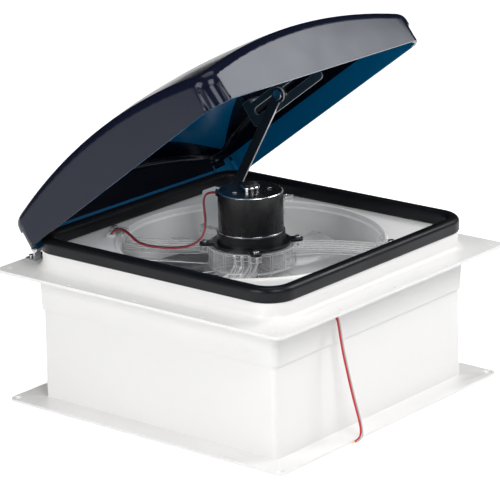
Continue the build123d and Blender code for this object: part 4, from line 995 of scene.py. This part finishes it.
class VENT_OT_controls(bpy.types.Operator):
    """Dresses the control unit under the deck, with its board, switches, panel and keys"""

    bl_idname = "vent.controls"
    bl_label = "Control unit"

    def execute(self, context):
        white = finish_material(
            "Textured white", colours().control, roughness=0.5, grain_scale=1500, grain_depth=0.6, bump=0.0001
        )
        key = finish_material(
            "Soft grey key", colours().key, roughness=0.55, grain_scale=1500, grain_depth=0.4,
        )
        board = finish_material("Solder mask", colours().board, roughness=0.3, cloudiness=0.3)
        switch = finish_material("Switch body", colours().arm, roughness=0.5)
        for name in ("control_housing", "control_panel"):
            dress(name, white, sizes().moulding_round)
        for name in ("button_power", "button_lid", "button_faster", "button_slower"):
            dress(name, key, sizes().moulding_round, segments=3)
        dress("control_board", board, 0)
        dress("control_switches", switch, sizes().metal_round)
        return {"FINISHED"}


class VENT_OT_grommets(bpy.types.Operator):
    """Dresses the grommets where the wires pass the deck and the skirt"""

    bl_idname = "vent.grommets"
    bl_label = "Grommets"

    def execute(self, context):
        soft = finish_material("Pale grommet", colours().grommet, roughness=0.5, grain_depth=0.3)
        for name in ("deck_grommet", "skirt_grommet"):
            dress(name, soft, sizes().metal_round, segments=3)
        return {"FINISHED"}


class VENT_OT_fasteners(bpy.types.Operator):
    """Dresses the screws of every piece"""

    bl_idname = "vent.fasteners"
    bl_label = "Fasteners"

    def execute(self, context):
        names = [name for name in frame["nodes"] if name.endswith("_screws")]
        for name in sorted(names):
            dress(name, zinc_steel(), sizes().metal_round)
        return {"FINISHED"}


def soft_box(name, place, size, power):
    """A square area lamp that faces the vent."""
    lamp = bpy.data.lights.new(name, "AREA")
    lamp.shape = "RECTANGLE"
    lamp.size, lamp.size_y = size
    lamp.energy = power
    made = bpy.data.objects.new(name, lamp)
    bpy.context.scene.collection.objects.link(made)
    made.location = place
    made.rotation_euler = (LAMP_TARGET - Vector(place)).to_track_quat("-Z", "Y").to_euler()


class VENT_OT_stage(bpy.types.Operator):
    """Makes the pale floor, the soft lamps and the world"""

    bl_idname = "vent.stage"
    bl_label = "Stage"

    def execute(self, context):
        context.scene.view_settings.view_transform = "Standard"
        low = CAD_BOX[0][2] - sizes().floor_gap
        bpy.ops.object.select_all(action="DESELECT")
        bpy.ops.mesh.primitive_plane_add(size=sizes().floor_size, location=(0, 0, low))
        floor = bpy.context.object
        floor.name = "studio_floor"
        bpy.ops.object.transform_apply(location=True, rotation=True, scale=True)
        floor.data.materials.append(floor_material())
        for lamp in LAMPS:
            soft_box(*lamp)
        world = bpy.data.worlds.new("Studio")
        context.scene.world = world
        light_world(world)
        return {"FINISHED"}


OPERATORS = (
    VENT_OT_camera,
    VENT_OT_motor_leads,
    VENT_OT_power_leads,
    VENT_OT_roof_moulding,
    VENT_OT_rim_gasket,
    VENT_OT_ceiling_trim,
    VENT_OT_lid,
    VENT_OT_slide_rail,
    VENT_OT_lift_arm,
    VENT_OT_gearbox,
    VENT_OT_spider,
    VENT_OT_motor,
    VENT_OT_fan,
    VENT_OT_screen,
    VENT_OT_hinges,
    VENT_OT_controls,
    VENT_OT_grommets,
    VENT_OT_fasteners,
    VENT_OT_stage,
)


class VENT_PT_panel(bpy.types.Panel):
    """Lists the vent's pieces, sizes and colours"""

    bl_label = "Roof vent"
    bl_idname = "VENT_PT_panel"
    bl_space_type = "VIEW_3D"
    bl_region_type = "UI"
    bl_category = "Roof vent"

    def draw(self, context):
        for operator in OPERATORS:
            self.layout.operator(operator.bl_idname)
        for group in (context.scene.vent_sizes, context.scene.vent_colours):
            column = self.layout.column()
            for name in group.bl_rna.properties.keys():
                if name not in ("rna_type", "name"):
                    column.prop(group, name)


def register():
    for made in (VentSizes, VentColours, *OPERATORS, VENT_PT_panel):
        bpy.utils.register_class(made)
    bpy.types.Scene.vent_sizes = bpy.props.PointerProperty(type=VentSizes)
    bpy.types.Scene.vent_colours = bpy.props.PointerProperty(type=VentColours)


def unregister():
    del bpy.types.Scene.vent_colours
    del bpy.types.Scene.vent_sizes
    for made in reversed((VentSizes, VentColours, *OPERATORS, VENT_PT_panel)):
        bpy.utils.unregister_class(made)


def main():
    register()
    for operator in OPERATORS:
        group, name = operator.bl_idname.split(".")
        getattr(getattr(bpy.ops, group), name)()


if __name__ == "__main__":
    main()
